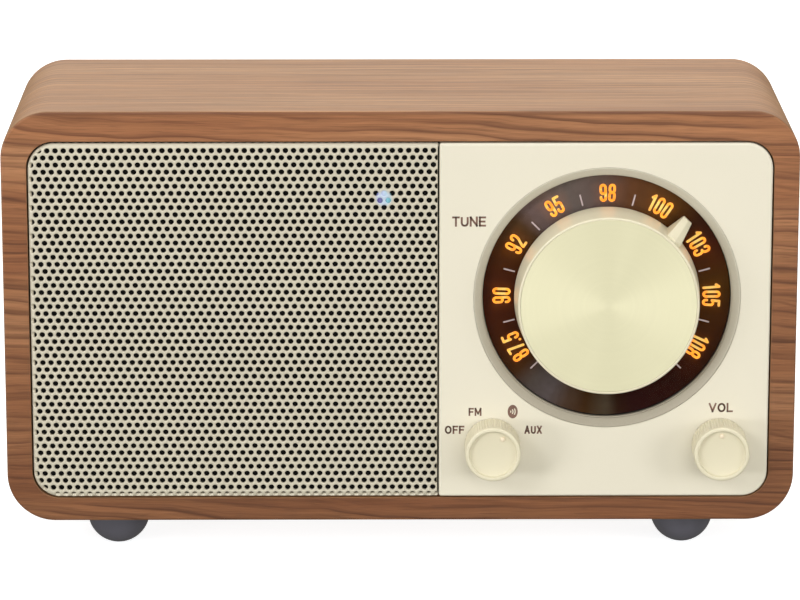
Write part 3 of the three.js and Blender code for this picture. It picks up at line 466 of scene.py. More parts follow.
# ------------------------------------------------------------------ mesh helpers (everything is given in mm)
def obj(name, verts, faces, material, body="cabinet", sharp=35.0, weighted=True, recalc=True):
    me = bpy.data.meshes.new(name)
    me.from_pydata([tuple(c * MM for c in v) for v in verts], [], faces)
    me.validate()
    bm = bmesh.new(); bm.from_mesh(me)
    if recalc:
        bmesh.ops.recalc_face_normals(bm, faces=bm.faces)
    bm.to_mesh(me); bm.free()
    o = bpy.data.objects.new(name, me)
    bpy.context.scene.collection.objects.link(o)
    me.materials.append(material)
    smooth(o, sharp, weighted)
    if body:
        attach(o, body)
    return o


def smooth(o, angle=35.0, weighted=True):
    me = o.data
    for p in me.polygons:
        p.use_smooth = True
    me.set_sharp_from_angle(angle=math.radians(angle))
    if weighted:
        w = o.modifiers.new("weighted", "WEIGHTED_NORMAL")
        w.keep_sharp = True
        w.mode = "FACE_AREA"


def rounded_ring(x0, x1, z0, z1, r, y, n=16):
    """One loop of a rounded rectangle. r is one radius or four: left-bottom, right-bottom, right-top, left-top."""
    lb, rb, rt, lt = r if isinstance(r, (tuple, list)) else (r, r, r, r)
    out = []
    for cx, cz, rad, a0 in ((x1 - rb, z0 + rb, rb, -90), (x1 - rt, z1 - rt, rt, 0), (x0 + lt, z1 - lt, lt, 90), (x0 + lb, z0 + lb, lb, 180)):
        for i in range(n + 1):
            a = math.radians(a0 + 90.0 * i / n)
            out.append((cx + rad * math.cos(a), y, cz + rad * math.sin(a)))
    return out


def bridge(rings, closed=False, cap_first=False, cap_last=False):
    n = len(rings[0])
    verts = [v for ring in rings for v in ring]
    faces = []
    count = len(rings)
    for k in range(count if closed else count - 1):
        a, b = k * n, ((k + 1) % count) * n
        faces += [(a + i, a + (i + 1) % n, b + (i + 1) % n, b + i) for i in range(n)]
    if cap_first:
        faces.append(tuple(range(n)))
    if cap_last:
        faces.append(tuple(range((count - 1) * n, count * n)))
    return verts, faces


def inset(rect, d):
    """A rounded rectangle (x0, x1, z0, z1, r) moved in by d."""
    x0, x1, z0, z1, r = rect
    rr = tuple(max(0.02, k - d) for k in r) if isinstance(r, (tuple, list)) else max(0.02, r - d)
    return (x0 + d, x1 - d, z0 + d, z1 - d, rr)


def arc_steps(n):
    return [math.pi / 2 * i / n for i in range(n + 1)]


def lathe(name, profile, x, z, material, body, segments=128, sharp=35.0, flutes=None, weighted=True):
    """Turns [radius, y] points about Y through (x, z). flutes(theta, r, y) may change a radius."""
    verts, faces, rows = [], [], []
    for r, y in profile:
        if r < 1e-6:
            rows.append([len(verts)])
            verts.append((x, y, z))
            continue
        row = []
        for i in range(segments):
            a = 2 * math.pi * i / segments
            rad = flutes(a, r, y) if flutes else r
            row.append(len(verts))
            verts.append((x + rad * math.sin(a), y, z + rad * math.cos(a)))
        rows.append(row)
    for a, b in zip(rows, rows[1:]):
        if len(a) == 1 and len(b) == 1:
            continue
        for i in range(segments):
            j = (i + 1) % segments
            if len(a) == 1:
                faces.append((a[0], b[i], b[j]))
            elif len(b) == 1:
                faces.append((a[i], b[0], a[j]))
            else:
                faces.append((a[i], b[i], b[j], a[j]))
    return obj(name, verts, faces, material, body, sharp, weighted)


def fillet(cx, cy, r, a0, a1, n=6):
    """Points of an arc in the lathe's (radius, y) plane."""
    return [(cx + r * math.cos(math.radians(a0 + (a1 - a0) * i / n)), cy + r * math.sin(math.radians(a0 + (a1 - a0) * i / n))) for i in range(n + 1)]


def cutter(verts, faces):
    me = bpy.data.meshes.new("cut")
    me.from_pydata([tuple(c * MM for c in v) for v in verts], [], faces)
    bm = bmesh.new(); bm.from_mesh(me)
    bmesh.ops.recalc_face_normals(bm, faces=bm.faces)
    bm.to_mesh(me); bm.free()
    o = bpy.data.objects.new("cut", me)
    bpy.context.scene.collection.objects.link(o)
    return o


def rod(x, z, r, y0, y1, n=64):
    rings = [[(x + r * math.sin(2 * math.pi * i / n), y, z + r * math.cos(2 * math.pi * i / n)) for i in range(n)] for y in (y0, y1)]
    return cutter(*bridge(rings, cap_first=True, cap_last=True))


def slab(rect, y0, y1, n=6):
    return cutter(*bridge([rounded_ring(*rect, y, n) for y in (y0, y1)], cap_first=True, cap_last=True))


def cut(o, *tools):
    """Boolean cuts, applied to the mesh."""
    keep = [m for m in o.modifiers]
    for m in keep:
        o.modifiers.remove(m)
    for t in tools:
        b = o.modifiers.new("cut", "BOOLEAN")
        b.operation = "DIFFERENCE"; b.solver = "EXACT"; b.object = t
    dg = bpy.context.evaluated_depsgraph_get()
    dg.update()
    me = bpy.data.meshes.new_from_object(o.evaluated_get(dg))
    old = o.data
    o.modifiers.clear()
    o.data = me
    me.name = o.name
    bpy.data.meshes.remove(old)
    for t in tools:
        bpy.data.objects.remove(t, do_unlink=True)
    return o


def soften(o, width, angle=35.0, segments=2):
    b = o.modifiers.new("soft_edges", "BEVEL")
    b.width = width * MM
    b.segments = segments
    b.limit_method = "ANGLE"
    b.angle_limit = math.radians(angle)
    b.harden_normals = False
    return o


# ------------------------------------------------------------------ the wooden sleeve
outer = (-W / 2, W / 2, ZB, ZT, R_OUT)
opening = (-OPEN_W / 2, OPEN_W / 2, OPEN_Z0, OPEN_Z1, OPEN_R)
bore = inset(opening, STEP)
N = 24
E = 0.45          # rounding of the outer arrises
e = 0.18          # rounding of the inner arrises
rings = []
for a in arc_steps(4):      # inner front arris, from the rebate wall out to the front face
    rings.append(rounded_ring(*inset(opening, -e * (1 - math.cos(a))), YF + e * (1 - math.sin(a)), N))
for a in arc_steps(6):      # outer front arris
    rings.append(rounded_ring(*inset(outer, E * (1 - math.sin(a))), YF + E * (1 - math.cos(a)), N))
for a in reversed(arc_steps(6)):
    rings.append(rounded_ring(*inset(outer, E * (1 - math.sin(a))), YB - E * (1 - math.cos(a)), N))
for a in reversed(arc_steps(4)):
    rings.append(rounded_ring(*inset(opening, -e * (1 - math.cos(a))), YB - e * (1 - math.sin(a)), N))
rings.append(rounded_ring(*opening, YB - 3.6, N))
rings.append(rounded_ring(*bore, YB - 3.6, N))
rings.append(rounded_ring(*bore, YF + 6.0, N))
rings.append(rounded_ring(*opening, YF + 6.0, N))
case = obj("cabinet_case", *bridge(rings, closed=True), M["walnut"], "cabinet", sharp=50)
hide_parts("cabinet_sleeve")


def grain(o):
    """Where each corner of the veneer lies: along the board on the front and back, round the loop on the outside and inside."""
    me = o.data
    data = me.attributes.new("grain", "FLOAT_VECTOR", "CORNER")
    hx, hz = W / 2 - R_OUT, H / 2 - R_OUT
    values = []
    for p in me.polygons:
        flat = abs(p.normal.y) > 0.72
        pc = p.center
        under = p.normal.z < -0.98 and pc.z < (ZB + 2) * MM
        for vi in p.vertices:
            x, y, z = (c / MM for c in me.vertices[vi].co)
            if flat:
                values += [x * MM, z * MM, 0.0]
                continue
            zz = z - (ZB + H / 2)
            cx = max(-hx, min(hx, x)); dx = x - cx
            cz = max(-hz, min(hz, zz)); dz = zz - cz
            # Length round the loop from the middle of the top, down both sides and round the lower corners; the joint is underneath.
            quarter = R_OUT * math.pi / 2
            if under:
                values += [x * MM, (y + 90) * MM, 1.0]
                continue
            if abs(dx) < 1e-4:
                s = x if zz > 0 else math.copysign(hx + 2 * quarter + 2 * hz, x)
            elif abs(dz) < 1e-4:
                s = math.copysign(hx + quarter + hz - zz, dx)
            elif zz > 0:
                s = math.copysign(hx + R_OUT * math.atan2(abs(dx), abs(dz)), dx)
            else:
                s = math.copysign(hx + quarter + 2 * hz + R_OUT * math.atan2(abs(dz), abs(dx)), dx)
            values += [s * MM, y * MM, 1.0]
    data.data.foreach_set("vector", values)


grain(case)

# ------------------------------------------------------------------ feet
for name, fx, fy in (("front_left", -FOOT_X, FOOT_YF), ("front_right", FOOT_X, FOOT_YF), ("rear_left", -FOOT_X, FOOT_YB), ("rear_right", FOOT_X, FOOT_YB)):
    seg, verts, rows = 64, [], []
    prof = [(0.0, 0.0)]
    a0 = 0.0; a1 = math.pi / 2 + math.asin((ZB - 0.02 - FOOT_R) / FOOT_R)
    for i in range(1, 29):
        a = a0 + (a1 - a0) * i / 28
        prof.append((FOOT_R * math.sin(a), FOOT_R - FOOT_R * math.cos(a)))
    prof.append((0.0, ZB - 0.02))
    faces = []
    for r, zz in prof:
        if r == 0:
            rows.append([len(verts)]); verts.append((fx, fy, zz))
        else:
            rows.append([len(verts) + i for i in range(seg)])
            verts += [(fx + r * math.cos(2 * math.pi * i / seg), fy + r * math.sin(2 * math.pi * i / seg), zz) for i in range(seg)]
    for a, b in zip(rows, rows[1:]):
        for i in range(seg):
            j = (i + 1) % seg
            if len(a) == 1: faces.append((a[0], b[i], b[j]))
            elif len(b) == 1: faces.append((a[i], b[0], a[j]))
            else: faces.append((a[i], b[i], b[j], a[j]))
    foot = obj("ball_foot_" + name, verts, faces, M["rubber"], "cabinet", sharp=60)
    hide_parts("foot_" + name)

# ------------------------------------------------------------------ perforated grille
GX0, GX1, GZ0, GZ1 = -OPEN_W / 2 + 0.3, SPLIT_X - 0.15, OPEN_Z0 + 0.3, OPEN_Z1 - 0.3
BEND, BEND_CUT = 0.75, 0.16                     # outer bend radius of the pan's edges, and of the edge at the split
FLAT = (GX0 + BEND, GX1 - BEND_CUT, GZ0 + BEND, GZ1 - BEND)
FLAT_R = {(-1, -1): 4.4, (-1, 1): 4.4, (1, -1): 0.05, (1, 1): 0.05}
PITCH_X, PITCH_Z = 1.5705, 1.3935
ROW0_X, ROW0_Z = -65.96, 81.70                # one hole's centre in the top row
HOLE = 0.545


def wrap(x, z, depth=0.0):
    """A point of the flat sheet, laid over the pan's rounded edges and corners; the cut edge beside the split is hardly bent."""
    x0, x1, z0, z1 = FLAT
    mx, mz = (x0 + x1) / 2, (z0 + z1) / 2
    sx, sz = (1 if x > mx else -1), (1 if z > mz else -1)
    r = FLAT_R[(sx, sz)]
    ex, ez = (x1 if sx > 0 else x0), (z1 if sz > 0 else z0)
    cx, cz = ex - sx * r, ez - sz * r
    ux, uz = (x - cx) * sx, (z - cz) * sz
    if ux > 0 and uz > 0:
        d0 = math.hypot(ux, uz)
        d = d0 - r
        nx, nz = sx * ux / max(d0, 1e-9), sz * uz / max(d0, 1e-9)
        qx, qz = cx + nx * r, cz + nz * r
    elif ux - r > uz - r:
        d, nx, nz = ux - r, sx, 0.0
        qx, qz = ex, z
    else:
        d, nx, nz = uz - r, 0.0, sz
        qx, qz = x, ez
    if d <= 0:
        return (x, FACE_Y + depth, z)
    bend = (BEND_CUT if sx > 0 else BEND) * nx * nx + BEND * nz * nz
    a = min(d / bend, math.pi / 2)
    over = max(0.0, d - bend * math.pi / 2)
    rad = bend - min(depth, bend * 0.8)
    return (qx + nx * rad * math.sin(a), FACE_Y + bend - rad * math.cos(a) + over + max(0.0, depth - bend * 0.8), qz + nz * rad * math.sin(a))


def outside(x, z):
    """How far a flat point is beyond the flat zone."""
    x0, x1, z0, z1 = FLAT
    sx, sz = (1 if x > (x0 + x1) / 2 else -1), (1 if z > (z0 + z1) / 2 else -1)
    r = FLAT_R[(sx, sz)]
    ex, ez = (x1 if sx > 0 else x0), (z1 if sz > 0 else z0)
    ux, uz = (x - (ex - sx * r)) * sx, (z - (ez - sz * r)) * sz
    if ux > 0 and uz > 0:
        return math.hypot(ux, uz) - r
    return max(ux, uz) - r


def make_grille():
    a2, b = PITCH_X / 2, PITCH_Z
    top = (b * b + a2 * a2) / (2 * b)
    side = ((a2 * a2 + b * b) / 2 - a2 * a2) / b
    corners = [(0, top), (a2, side), (a2, -side), (0, -top), (-a2, -side), (-a2, side)]
    outline = []
    for i, p in enumerate(corners):
        q = corners[(i + 1) % 6]
        outline += [p, ((p[0] + q[0]) / 2, (p[1] + q[1]) / 2)]
    angles = [math.atan2(p[0], p[1]) for p in outline]
    verts, faces, known = [], [], {}

    def shared(x, z):
        key = (round(x * 200), round(z * 200))
        if key not in known:
            known[key] = len(verts)
            verts.append(wrap(x, z))
        return known[key]

    def own(x, z, depth):
        verts.append(wrap(x, z, depth))
        return len(verts) - 1

    row = -2
    while True:
        cz = ROW0_Z - row * PITCH_Z
        if cz < GZ0 - 2.5:
            break
        first = ROW0_X - (PITCH_X / 2 if row % 2 else 0.0)
        k = -6
        while True:
            cx = first + k * PITCH_X
            k += 1
            if cx > GX1 + 2.5:
                break
            if outside(cx, cz) > 2.0:
                continue
            loop = [shared(cx + px, cz + pz) for px, pz in outline]
            if row < 0 or outside(cx, cz) > 0.62:            # plain cells over the bent edges
                mid = own(cx, cz, 0.0)
                ring = [own(cx + 0.5 * px, cz + 0.5 * pz, 0.0) for px, pz in outline]
                for i in range(12):
                    j = (i + 1) % 12
                    faces.append((loop[i], loop[j], ring[j], ring[i]))
                    faces.append((ring[i], ring[j], mid))
                continue
            r0 = [own(cx + (HOLE + 0.055) * math.sin(t), cz + (HOLE + 0.055) * math.cos(t), 0.0) for t in angles]
            r1 = [own(cx + (HOLE + 0.012) * math.sin(t), cz + (HOLE + 0.012) * math.cos(t), 0.045) for t in angles]
            r2 = [own(cx + HOLE * math.sin(t), cz + HOLE * math.cos(t), 0.62) for t in angles]
            for i in range(12):
                j = (i + 1) % 12
                faces.append((loop[i], loop[j], r0[j], r0[i]))
                faces.append((r0[i], r0[j], r1[j], r1[i]))
                faces.append((r1[i], r1[j], r2[j], r2[i]))
        row += 1
    return verts, faces


gv, gf = make_grille()
grille = obj("perforated_grille", gv, gf, M["grille"], "cabinet", sharp=70, weighted=False, recalc=False)
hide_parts("speaker_grille")

# ------------------------------------------------------------------ control panel
PR = (0.5, 5.0, 5.0, 0.5)
panel_rect = (SPLIT_X + 0.15, OPEN_W / 2 - 0.3, OPEN_Z0 + 0.3, OPEN_Z1 - 0.3, PR)
F = 0.5
rings = [rounded_ring(*panel_rect, FACE_Y + FASCIA_T, 16)]
for a in arc_steps(6):
    rings.append(rounded_ring(*inset(panel_rect, F * (1 - math.cos(a))), FACE_Y + F * (1 - math.sin(a)), 16))
panel = obj("control_fascia", *bridge(rings, cap_first=True, cap_last=True), M["panel"], "cabinet", sharp=50)
cut(panel, rod(DIAL_X, DIAL_Z, DIAL_R_OUT - 0.02, FACE_Y - 2, FACE_Y + 6, 192), rod(MODE_X, SMALL_Z, 4.5, FACE_Y - 2, FACE_Y + 6), rod(VOL_X, SMALL_Z, 4.5, FACE_Y - 2, FACE_Y + 6))
smooth(panel, 50)
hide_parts("control_panel")

# ------------------------------------------------------------------ dial
ro, ri = DIAL_R_OUT - 0.05, DIAL_R_IN
bezel = lathe("dial_chamfer_ring", [
    (ro, FACE_Y + FASCIA_T), (ro, FACE_Y + 0.14)] + fillet(ro - 0.14, FACE_Y + 0.14, 0.14, 0, -90, 4)
    + [(ro - 0.30, FACE_Y + 0.02)] + [(ri + 0.36, WINDOW_Y - 0.52), (ri + 0.20, WINDOW_Y - 0.40), (ri + 0.15, WINDOW_Y - 0.28), (ri + 0.15, WINDOW_Y + 0.02), (ri, WINDOW_Y + 0.06), (ri, WINDOW_Y + 0.9)],
    DIAL_X, DIAL_Z, M["bezel"], "cabinet", 192, sharp=60)
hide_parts("dial_bezel")

PLATE_Y = WINDOW_Y + 1.12
plate = lathe("dial_scale_plate", [(7.0, PLATE_Y + 0.45), (7.0, PLATE_Y), (DIAL_R_IN - 0.15, PLATE_Y), (DIAL_R_IN - 0.15, PLATE_Y + 0.45)], DIAL_X, DIAL_Z, M["dial"], "cabinet", 160)
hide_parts("dial_plate")

SKELETON = {
    "0": [("loop", 0, 0, 1, 3)],
    "1": [("line", [(0.12, 2.42), (0.62, 3.0), (0.62, 0.0)])],
    "2": [("path", [(0, 2.35), (0, 2.5)], ("arc", 0.5, 2.5, 0.5, 180, 0), [(1, 2.1), (0.9, 1.7), (0.12, 0.45), (0, 0.1), (0, 0.0), (1, 0.0)])],
    "3": [("path", [(0, 2.35), (0, 2.5)], ("arc", 0.5, 2.5, 0.5, 180, 0), [(1, 2.05), (0.82, 1.68), (0.42, 1.56)], [(0.82, 1.44), (1, 1.1), (1, 0.5)], ("arc", 0.5, 0.5, 0.5, 0, -180), [(0, 0.65)])],
    "5": [("path", [(1, 3.0), (0.04, 3.0), (0, 1.62)], [(0.22, 1.86)], ("arc", 0.55, 1.4, 0.45, 90, 0), [(1, 0.5)], ("arc", 0.5, 0.5, 0.5, 0, -180), [(0, 0.65)])],
    "7": [("line", [(0, 3.0), (1, 3.0), (0.36, 0.0)])],
    "8": [("loop", 0, 1.58, 1, 3), ("loop", 0, 0, 1, 1.58)],
    "9": [("loop", 0, 1.3, 1, 3), ("path", [(1, 2.4), (1, 0.5)], ("arc", 0.5, 0.5, 0.5, 0, -180), [(0, 0.65)])],
    ".": [("line", [(0.0, 0.0), (0.0, 0.06)])],
}


def strokes(char):
    out = []
    for item in SKELETON[char]:
        if item[0] == "loop":
            _, x0, y0, x1, y1 = item
            r = (x1 - x0) / 2
            pts = [((x0 + x1) / 2 + r * math.cos(t), y1 - r + r * math.sin(t)) for t in [math.pi * i / 8 for i in range(9)]]
            pts += [((x0 + x1) / 2 + r * math.cos(t), y0 + r + r * math.sin(t)) for t in [math.pi + math.pi * i / 8 for i in range(9)]]
            out.append((pts, True))
        elif item[0] == "line":
            out.append((list(item[1]), False))
        else:
            pts = []
            for seg in item[1:]:
                if isinstance(seg, tuple) and seg and seg[0] == "arc":
                    _, cx, cy, r, a0, a1 = seg
                    pts += [(cx + r * math.cos(math.radians(a0 + (a1 - a0) * i / 8)), cy + r * math.sin(math.radians(a0 + (a1 - a0) * i / 8))) for i in range(9)]
                else:
                    pts += list(seg)
            clean = [pts[0]]
            for p in pts[1:]:
                if math.dist(p, clean[-1]) > 1e-4:
                    clean.append(p)
            out.append((clean, False))
    return out


def flat_stroke(pts, closed, half, cap=6):
    """A round-capped stroke as flat polygons: a strip of quads and a fan at each joint."""
    quads = []
    n = len(pts)
    for i in range(n if closed else n - 1):
        (x0, y0), (x1, y1) = pts[i], pts[(i + 1) % n]
        d = math.hypot(x1 - x0, y1 - y0)
        nx, ny = -(y1 - y0) / d * half, (x1 - x0) / d * half
        quads.append([(x0 + nx, y0 + ny), (x0 - nx, y0 - ny), (x1 - nx, y1 - ny), (x1 + nx, y1 + ny)])
    for x, y in pts:
        quads.append([(x + half * math.cos(2 * math.pi * k / (2 * cap)), y + half * math.sin(2 * math.pi * k / (2 * cap))) for k in range(2 * cap)])
    return quads


def figure_mesh(char, unit, half):
    """Flat polygons of one figure, centred on its own box, in mm."""
    polys = []
    for pts, closed in strokes(char):
        polys += flat_stroke([((x - (0.5 if char != "." else 0.0)) * unit[0], (y - 1.5) * unit[1]) for x, y in pts], closed, half)
    return polys


class Ink:
    """Collects flat polygons as thin closed prisms standing on the plane y, towards the front."""

    def __init__(self, y, thick):
        self.v, self.f, self.y, self.t = [], [], y, thick

    def add(self, poly):
        n, b = len(poly), len(self.v)
        area = sum(poly[i][0] * poly[(i + 1) % n][1] - poly[(i + 1) % n][0] * poly[i][1] for i in range(n))
        if area < 0:
            poly = poly[::-1]
        self.v += [(x, self.y, z) for x, z in poly] + [(x, self.y - self.t, z) for x, z in poly]
        self.f += [tuple(range(b + n - 1, b - 1, -1)), tuple(range(b + n, b + 2 * n))]
        self.f += [(b + i, b + (i + 1) % n, b + n + (i + 1) % n, b + n + i) for i in range(n)]

    def make(self, name, material, body="cabinet"):
        o = obj(name, self.v, self.f, material, body, sharp=30, weighted=False)
        return o


FIG_R, FIG_H, FIG_W, STROKE = 20.3, 3.55, 1.42, 0.50
unit = ((FIG_W - STROKE), (FIG_H - STROKE) / 3.0)
ink = Ink(PLATE_Y - 0.004, 0.03)
for label, deg in (("87.5", -120), ("90", -90), ("92", -60), ("95", -30), ("98", 0), ("100", 30), ("103", 60), ("105", 90), ("108", 120)):
    widths = [0.80 if c == "." else (1.28 if c == "1" else 1.70) for c in label]
    total = sum(widths)
    at = -total / 2
    for c, w in zip(label, widths):
        mid = at + w / 2
        at += w
        a = math.radians(deg) + mid / FIG_R
        ca, sa = math.cos(a), math.sin(a)
        for poly in figure_mesh(c, unit, STROKE / 2):
            ink.add([(DIAL_X + (FIG_R + py) * sa + px * ca, DIAL_Z + (FIG_R + py) * ca - px * sa) for px, py in poly])
ink.make("dial_figures", M["figures"])

tv, tf = [], []
for deg in (-135, -105, -75, -45, -15, 15, 45, 75, 105, 135):
    a = math.radians(deg)
    ca, sa = math.cos(a), math.sin(a)
    for r0, r1, hw in ((18.35, 20.6, 0.14),):
        base = len(tv)
        for y in (PLATE_Y - 0.05, PLATE_Y - 0.005):
            for px, rr in ((-hw, r0), (hw, r0), (hw, r1), (-hw, r1)):
                tv.append((DIAL_X + rr * sa + px * ca, y, DIAL_Z + rr * ca - px * sa))
        b = base
        tf += [(b, b + 1, b + 2, b + 3), (b + 7, b + 6, b + 5, b + 4), (b, b + 4, b + 5, b + 1), (b + 1, b + 5, b + 6, b + 2), (b + 2, b + 6, b + 7, b + 3), (b + 3, b + 7, b + 4, b)]
ticks = obj("dial_ticks", tv, tf, M["ticks"], "cabinet", sharp=30, weighted=False)

# ------------------------------------------------------------------ tuning knob
KF = FACE_Y - KNOB_PROUD
KB = WINDOW_Y - 0.35
body_profile = [(KNOB_R_BASE - 2.0, KB), (KNOB_R_BASE - 0.12, KB), (KNOB_R_BASE, KB - 0.12), (KNOB_R_FACE + 0.01, KF + 0.34)]
body_profile += fillet(KNOB_R_FACE - 0.30, KF + 0.30, 0.30, 0, -90, 6)
body_profile += [(KNOB_R_FACE - 0.38, KF + 0.005), (KNOB_R_FACE - 0.48, KF + 0.07), (KNOB_R_FACE - 0.50, KF + 0.9), (0, KF + 0.9)]
knob = lathe("tuning_knob_body", body_profile, DIAL_X, DIAL_Z, M["knob"], "tuning", 192, sharp=50)
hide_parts("tuning_knob")
cap = lathe("tuning_knob_face", [(0, KF + 0.8), (KNOB_R_FACE - 0.51, KF + 0.8), (KNOB_R_FACE - 0.51, KF + 0.16), (KNOB_R_FACE - 0.53, KF + 0.11), (KNOB_R_FACE - 0.60, KF + 0.09), (0, KF + 0.09)],
            DIAL_X, DIAL_Z, M["face"], "tuning", 192, sharp=40)
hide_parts("tuning_knob_cap")

# Pointer: a ridged wedge that stands out of the knob's wall, over the scale.
r0, r1, rt = 16.9, 21.75, 21.35
yb, y0, y1 = WINDOW_Y - 0.42, KF + 1.05, WINDOW_Y - 2.1
sect = lambda r, hw, ridge, edge, base: [(-hw, base, r), (-hw, edge, r), (-0.05, ridge, r), (0.05, ridge, r), (hw, edge, r), (hw, base, r)]
rings = [sect(r0, 1.65, y0 - 0.2, y0 + 1.05, yb), sect(17.8, 1.62, y0 - 0.05, y0 + 1.15, yb), sect(rt, 1.12, y1, y1 + 0.85, yb), sect(r1, 1.0, y1 + 0.5, y1 + 1.15, yb)]
pv, pf = bridge(rings, cap_first=True, cap_last=True)
a = math.radians(45)
pv = [(DIAL_X + r * math.sin(a) + x * math.cos(a), y, DIAL_Z + r * math.cos(a) - x * math.sin(a)) for x, y, r in pv]
pointer = obj("tuning_pointer_tab", pv, pf, M["knob"], "tuning", sharp=30)
soften(pointer, 0.09, 25, 2)
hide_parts("tuning_pointer")

# ------------------------------------------------------------------ mode and volume knobs
SF = FACE_Y - SMALL_PROUD
FLUTES = 60


def fluted(theta, r, y):
    if r < 4.9 or y < SF + 0.95 or y > FACE_Y - 0.4:
        return r
    wave = 0.5 - 0.5 * math.cos(FLUTES * theta)
    fade = min(1.0, (y - (SF + 0.95)) / 0.35)
    return r - 0.13 * (wave ** 0.7) * fade


for name, x, turn in (("mode", MODE_X, 32), ("volume", VOL_X, 0)):
    RB = 5.42
    prof = [(3.0, FACE_Y - 0.25), (RB - 0.15, FACE_Y - 0.25), (RB, FACE_Y - 0.41)]
    yt = SF + 1.3
    RF = 5.34
    prof += [(RB + (RF - RB) * i / 8, FACE_Y - 0.41 + (yt - FACE_Y + 0.41) * i / 8) for i in range(1, 9)]
    prof += [(RF, SF + 1.1), (RF, SF + 0.95), (RF, SF + 0.50)]
    prof += fillet(RF - 0.34, SF + 0.34, 0.34, 0, -90, 6)
    prof += fillet(RF - 0.62, SF + 0.14, 0.14, -90, -180, 4)
    prof += [(RF - 0.80, SF + 0.66), (RF - 0.88, SF + 0.76), (RF - 1.02, SF + 0.80), (0, SF + 0.80)]
    k = lathe(name + "_knob_body", prof, x, SMALL_Z, M["knob"], name, 480, sharp=60, flutes=fluted)
    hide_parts(name + "_knob")
    a = math.radians(turn)
    pr = 3.45
    pip = lathe(name + "_knob_pip", [(0.46, SF + 0.80), (0.44, SF + 0.60), (0.34, SF + 0.48), (0.18, SF + 0.43), (0, SF + 0.42)], x + pr * math.sin(a), SMALL_Z + pr * math.cos(a), M["pip"], name, 24, sharp=60)

# ------------------------------------------------------------------ printed labels
LETTERS = {      # width, then strokes in a box of that width and a height of 1
    "T": (0.60, [[(0, 1), (0.60, 1)], [(0.30, 1), (0.30, 0)]]),
    "U": (0.64, [[(0, 1), (0, 0.30), (0.06, 0.12), (0.18, 0.02), (0.32, 0), (0.46, 0.02), (0.58, 0.12), (0.64, 0.30), (0.64, 1)]]),
    "N": (0.66, [[(0, 0), (0, 1)], [(0, 1), (0.66, 0)], [(0.66, 0), (0.66, 1)]]),
    "E": (0.56, [[(0, 0), (0, 1)], [(0, 1), (0.56, 1)], [(0, 0.5), (0.50, 0.5)], [(0, 0), (0.56, 0)]]),
    "V": (0.70, [[(0, 1), (0.35, 0)], [(0.35, 0), (0.70, 1)]]),
    "O": (0.74, [[(0.37 + 0.37 * math.cos(2 * math.pi * i / 20), 0.5 + 0.5 * math.sin(2 * math.pi * i / 20)) for i in range(21)]]),
    "L": (0.52, [[(0, 1), (0, 0)], [(0, 0), (0.52, 0)]]),
    "F": (0.54, [[(0, 0), (0, 1)], [(0, 1), (0.54, 1)], [(0, 0.5), (0.46, 0.5)]]),
    "A": (0.70, [[(0, 0), (0.35, 1)], [(0.35, 1), (0.70, 0)], [(0.13, 0.30), (0.57, 0.30)]]),
    "X": (0.64, [[(0, 0), (0.64, 1)], [(0, 1), (0.64, 0)]]),
    "M": (0.78, [[(0, 0), (0, 1)], [(0, 1), (0.39, 0.22)], [(0.39, 0.22), (0.78, 1)], [(0.78, 1), (0.78, 0)]]),
}


def label(name, text, x, z, cap_h, width, weight=0.19):
    half = weight * cap_h / 2
    tall = cap_h - 2 * half
    gap = 0.10 * cap_h
    natural = [LETTERS[c][0] * cap_h for c in text]
    squeeze = (width - 2 * half - (gap + 2 * half) * (len(text) - 1)) / sum(natural)
    ink = Ink(FACE_Y - 0.002, 0.014)
    at = x - width / 2 + half
    for c, w in zip(text, natural):
        for line in LETTERS[c][1]:
            pts = [(at + px * cap_h * squeeze, z - tall / 2 + pz * tall) for px, pz in line]
            for p, q in zip(pts, pts[1:]):
                d = math.dist(p, q)
                ux, uz = (q[0] - p[0]) / d, (q[1] - p[1]) / d
                e = half if len(pts) == 2 else half * 0.35
                ink.add([(p[0] - ux * e - uz * half, p[1] - uz * e + ux * half), (p[0] - ux * e + uz * half, p[1] - uz * e - ux * half),
                         (q[0] + ux * e + uz * half, q[1] + uz * e - ux * half), (q[0] + ux * e - uz * half, q[1] + uz * e + ux * half)])
        at += w * squeeze + gap + 2 * half
    return ink.make(name, M["label"])


label("label_tune", "TUNE", 13.15, 67.8, 2.0, 6.5)
label("label_vol", "VOL", 62.1, 30.75, 1.85, 4.7)
label("label_off", "OFF", 10.5, 26.35, 1.65, 3.8, 0.20)
label("label_fm", "FM", 14.45, 29.95, 1.6, 2.5, 0.20)
label("label_aux", "AUX", 25.75, 26.35, 1.65, 3.4, 0.20)

# Generic wireless mark: three waves cut out of an oval.
mx, mz = 21.75, 30.0


def wedge(cx, cz, r_in, r_out, a0, a1, n):
    """A ring sector as small quads."""
    out = []
    for i in range(n):
        t0, t1 = (math.radians(a0 + (a1 - a0) * k / n) for k in (i, i + 1))
        out.append([(cx + r_in * math.sin(t0), cz + r_in * math.cos(t0)), (cx + r_out * math.sin(t0), cz + r_out * math.cos(t0)),
                    (cx + r_out * math.sin(t1), cz + r_out * math.cos(t1)), (cx + r_in * math.sin(t1), cz + r_in * math.cos(t1))])
    return out


oval = lambda a, b, n=48: [(mx + a * math.sin(2 * math.pi * i / n), mz + b * math.cos(2 * math.pi * i / n)) for i in range(n)]
ink = Ink(FACE_Y - 0.002, 0.014)
ink.add(oval(0.98, 1.36))
ink.make("label_wireless_oval", M["label"])
ink = Ink(FACE_Y - 0.012, 0.014)
for rr, half in ((0.36, 34), (0.78, 36), (1.20, 30)):
    for quad in wedge(mx - 0.72, mz, rr - 0.095, rr + 0.095, 90 - half, 90 + half, 8):
        ink.add(quad)
ink.make("label_wireless_arcs", M["panel"])

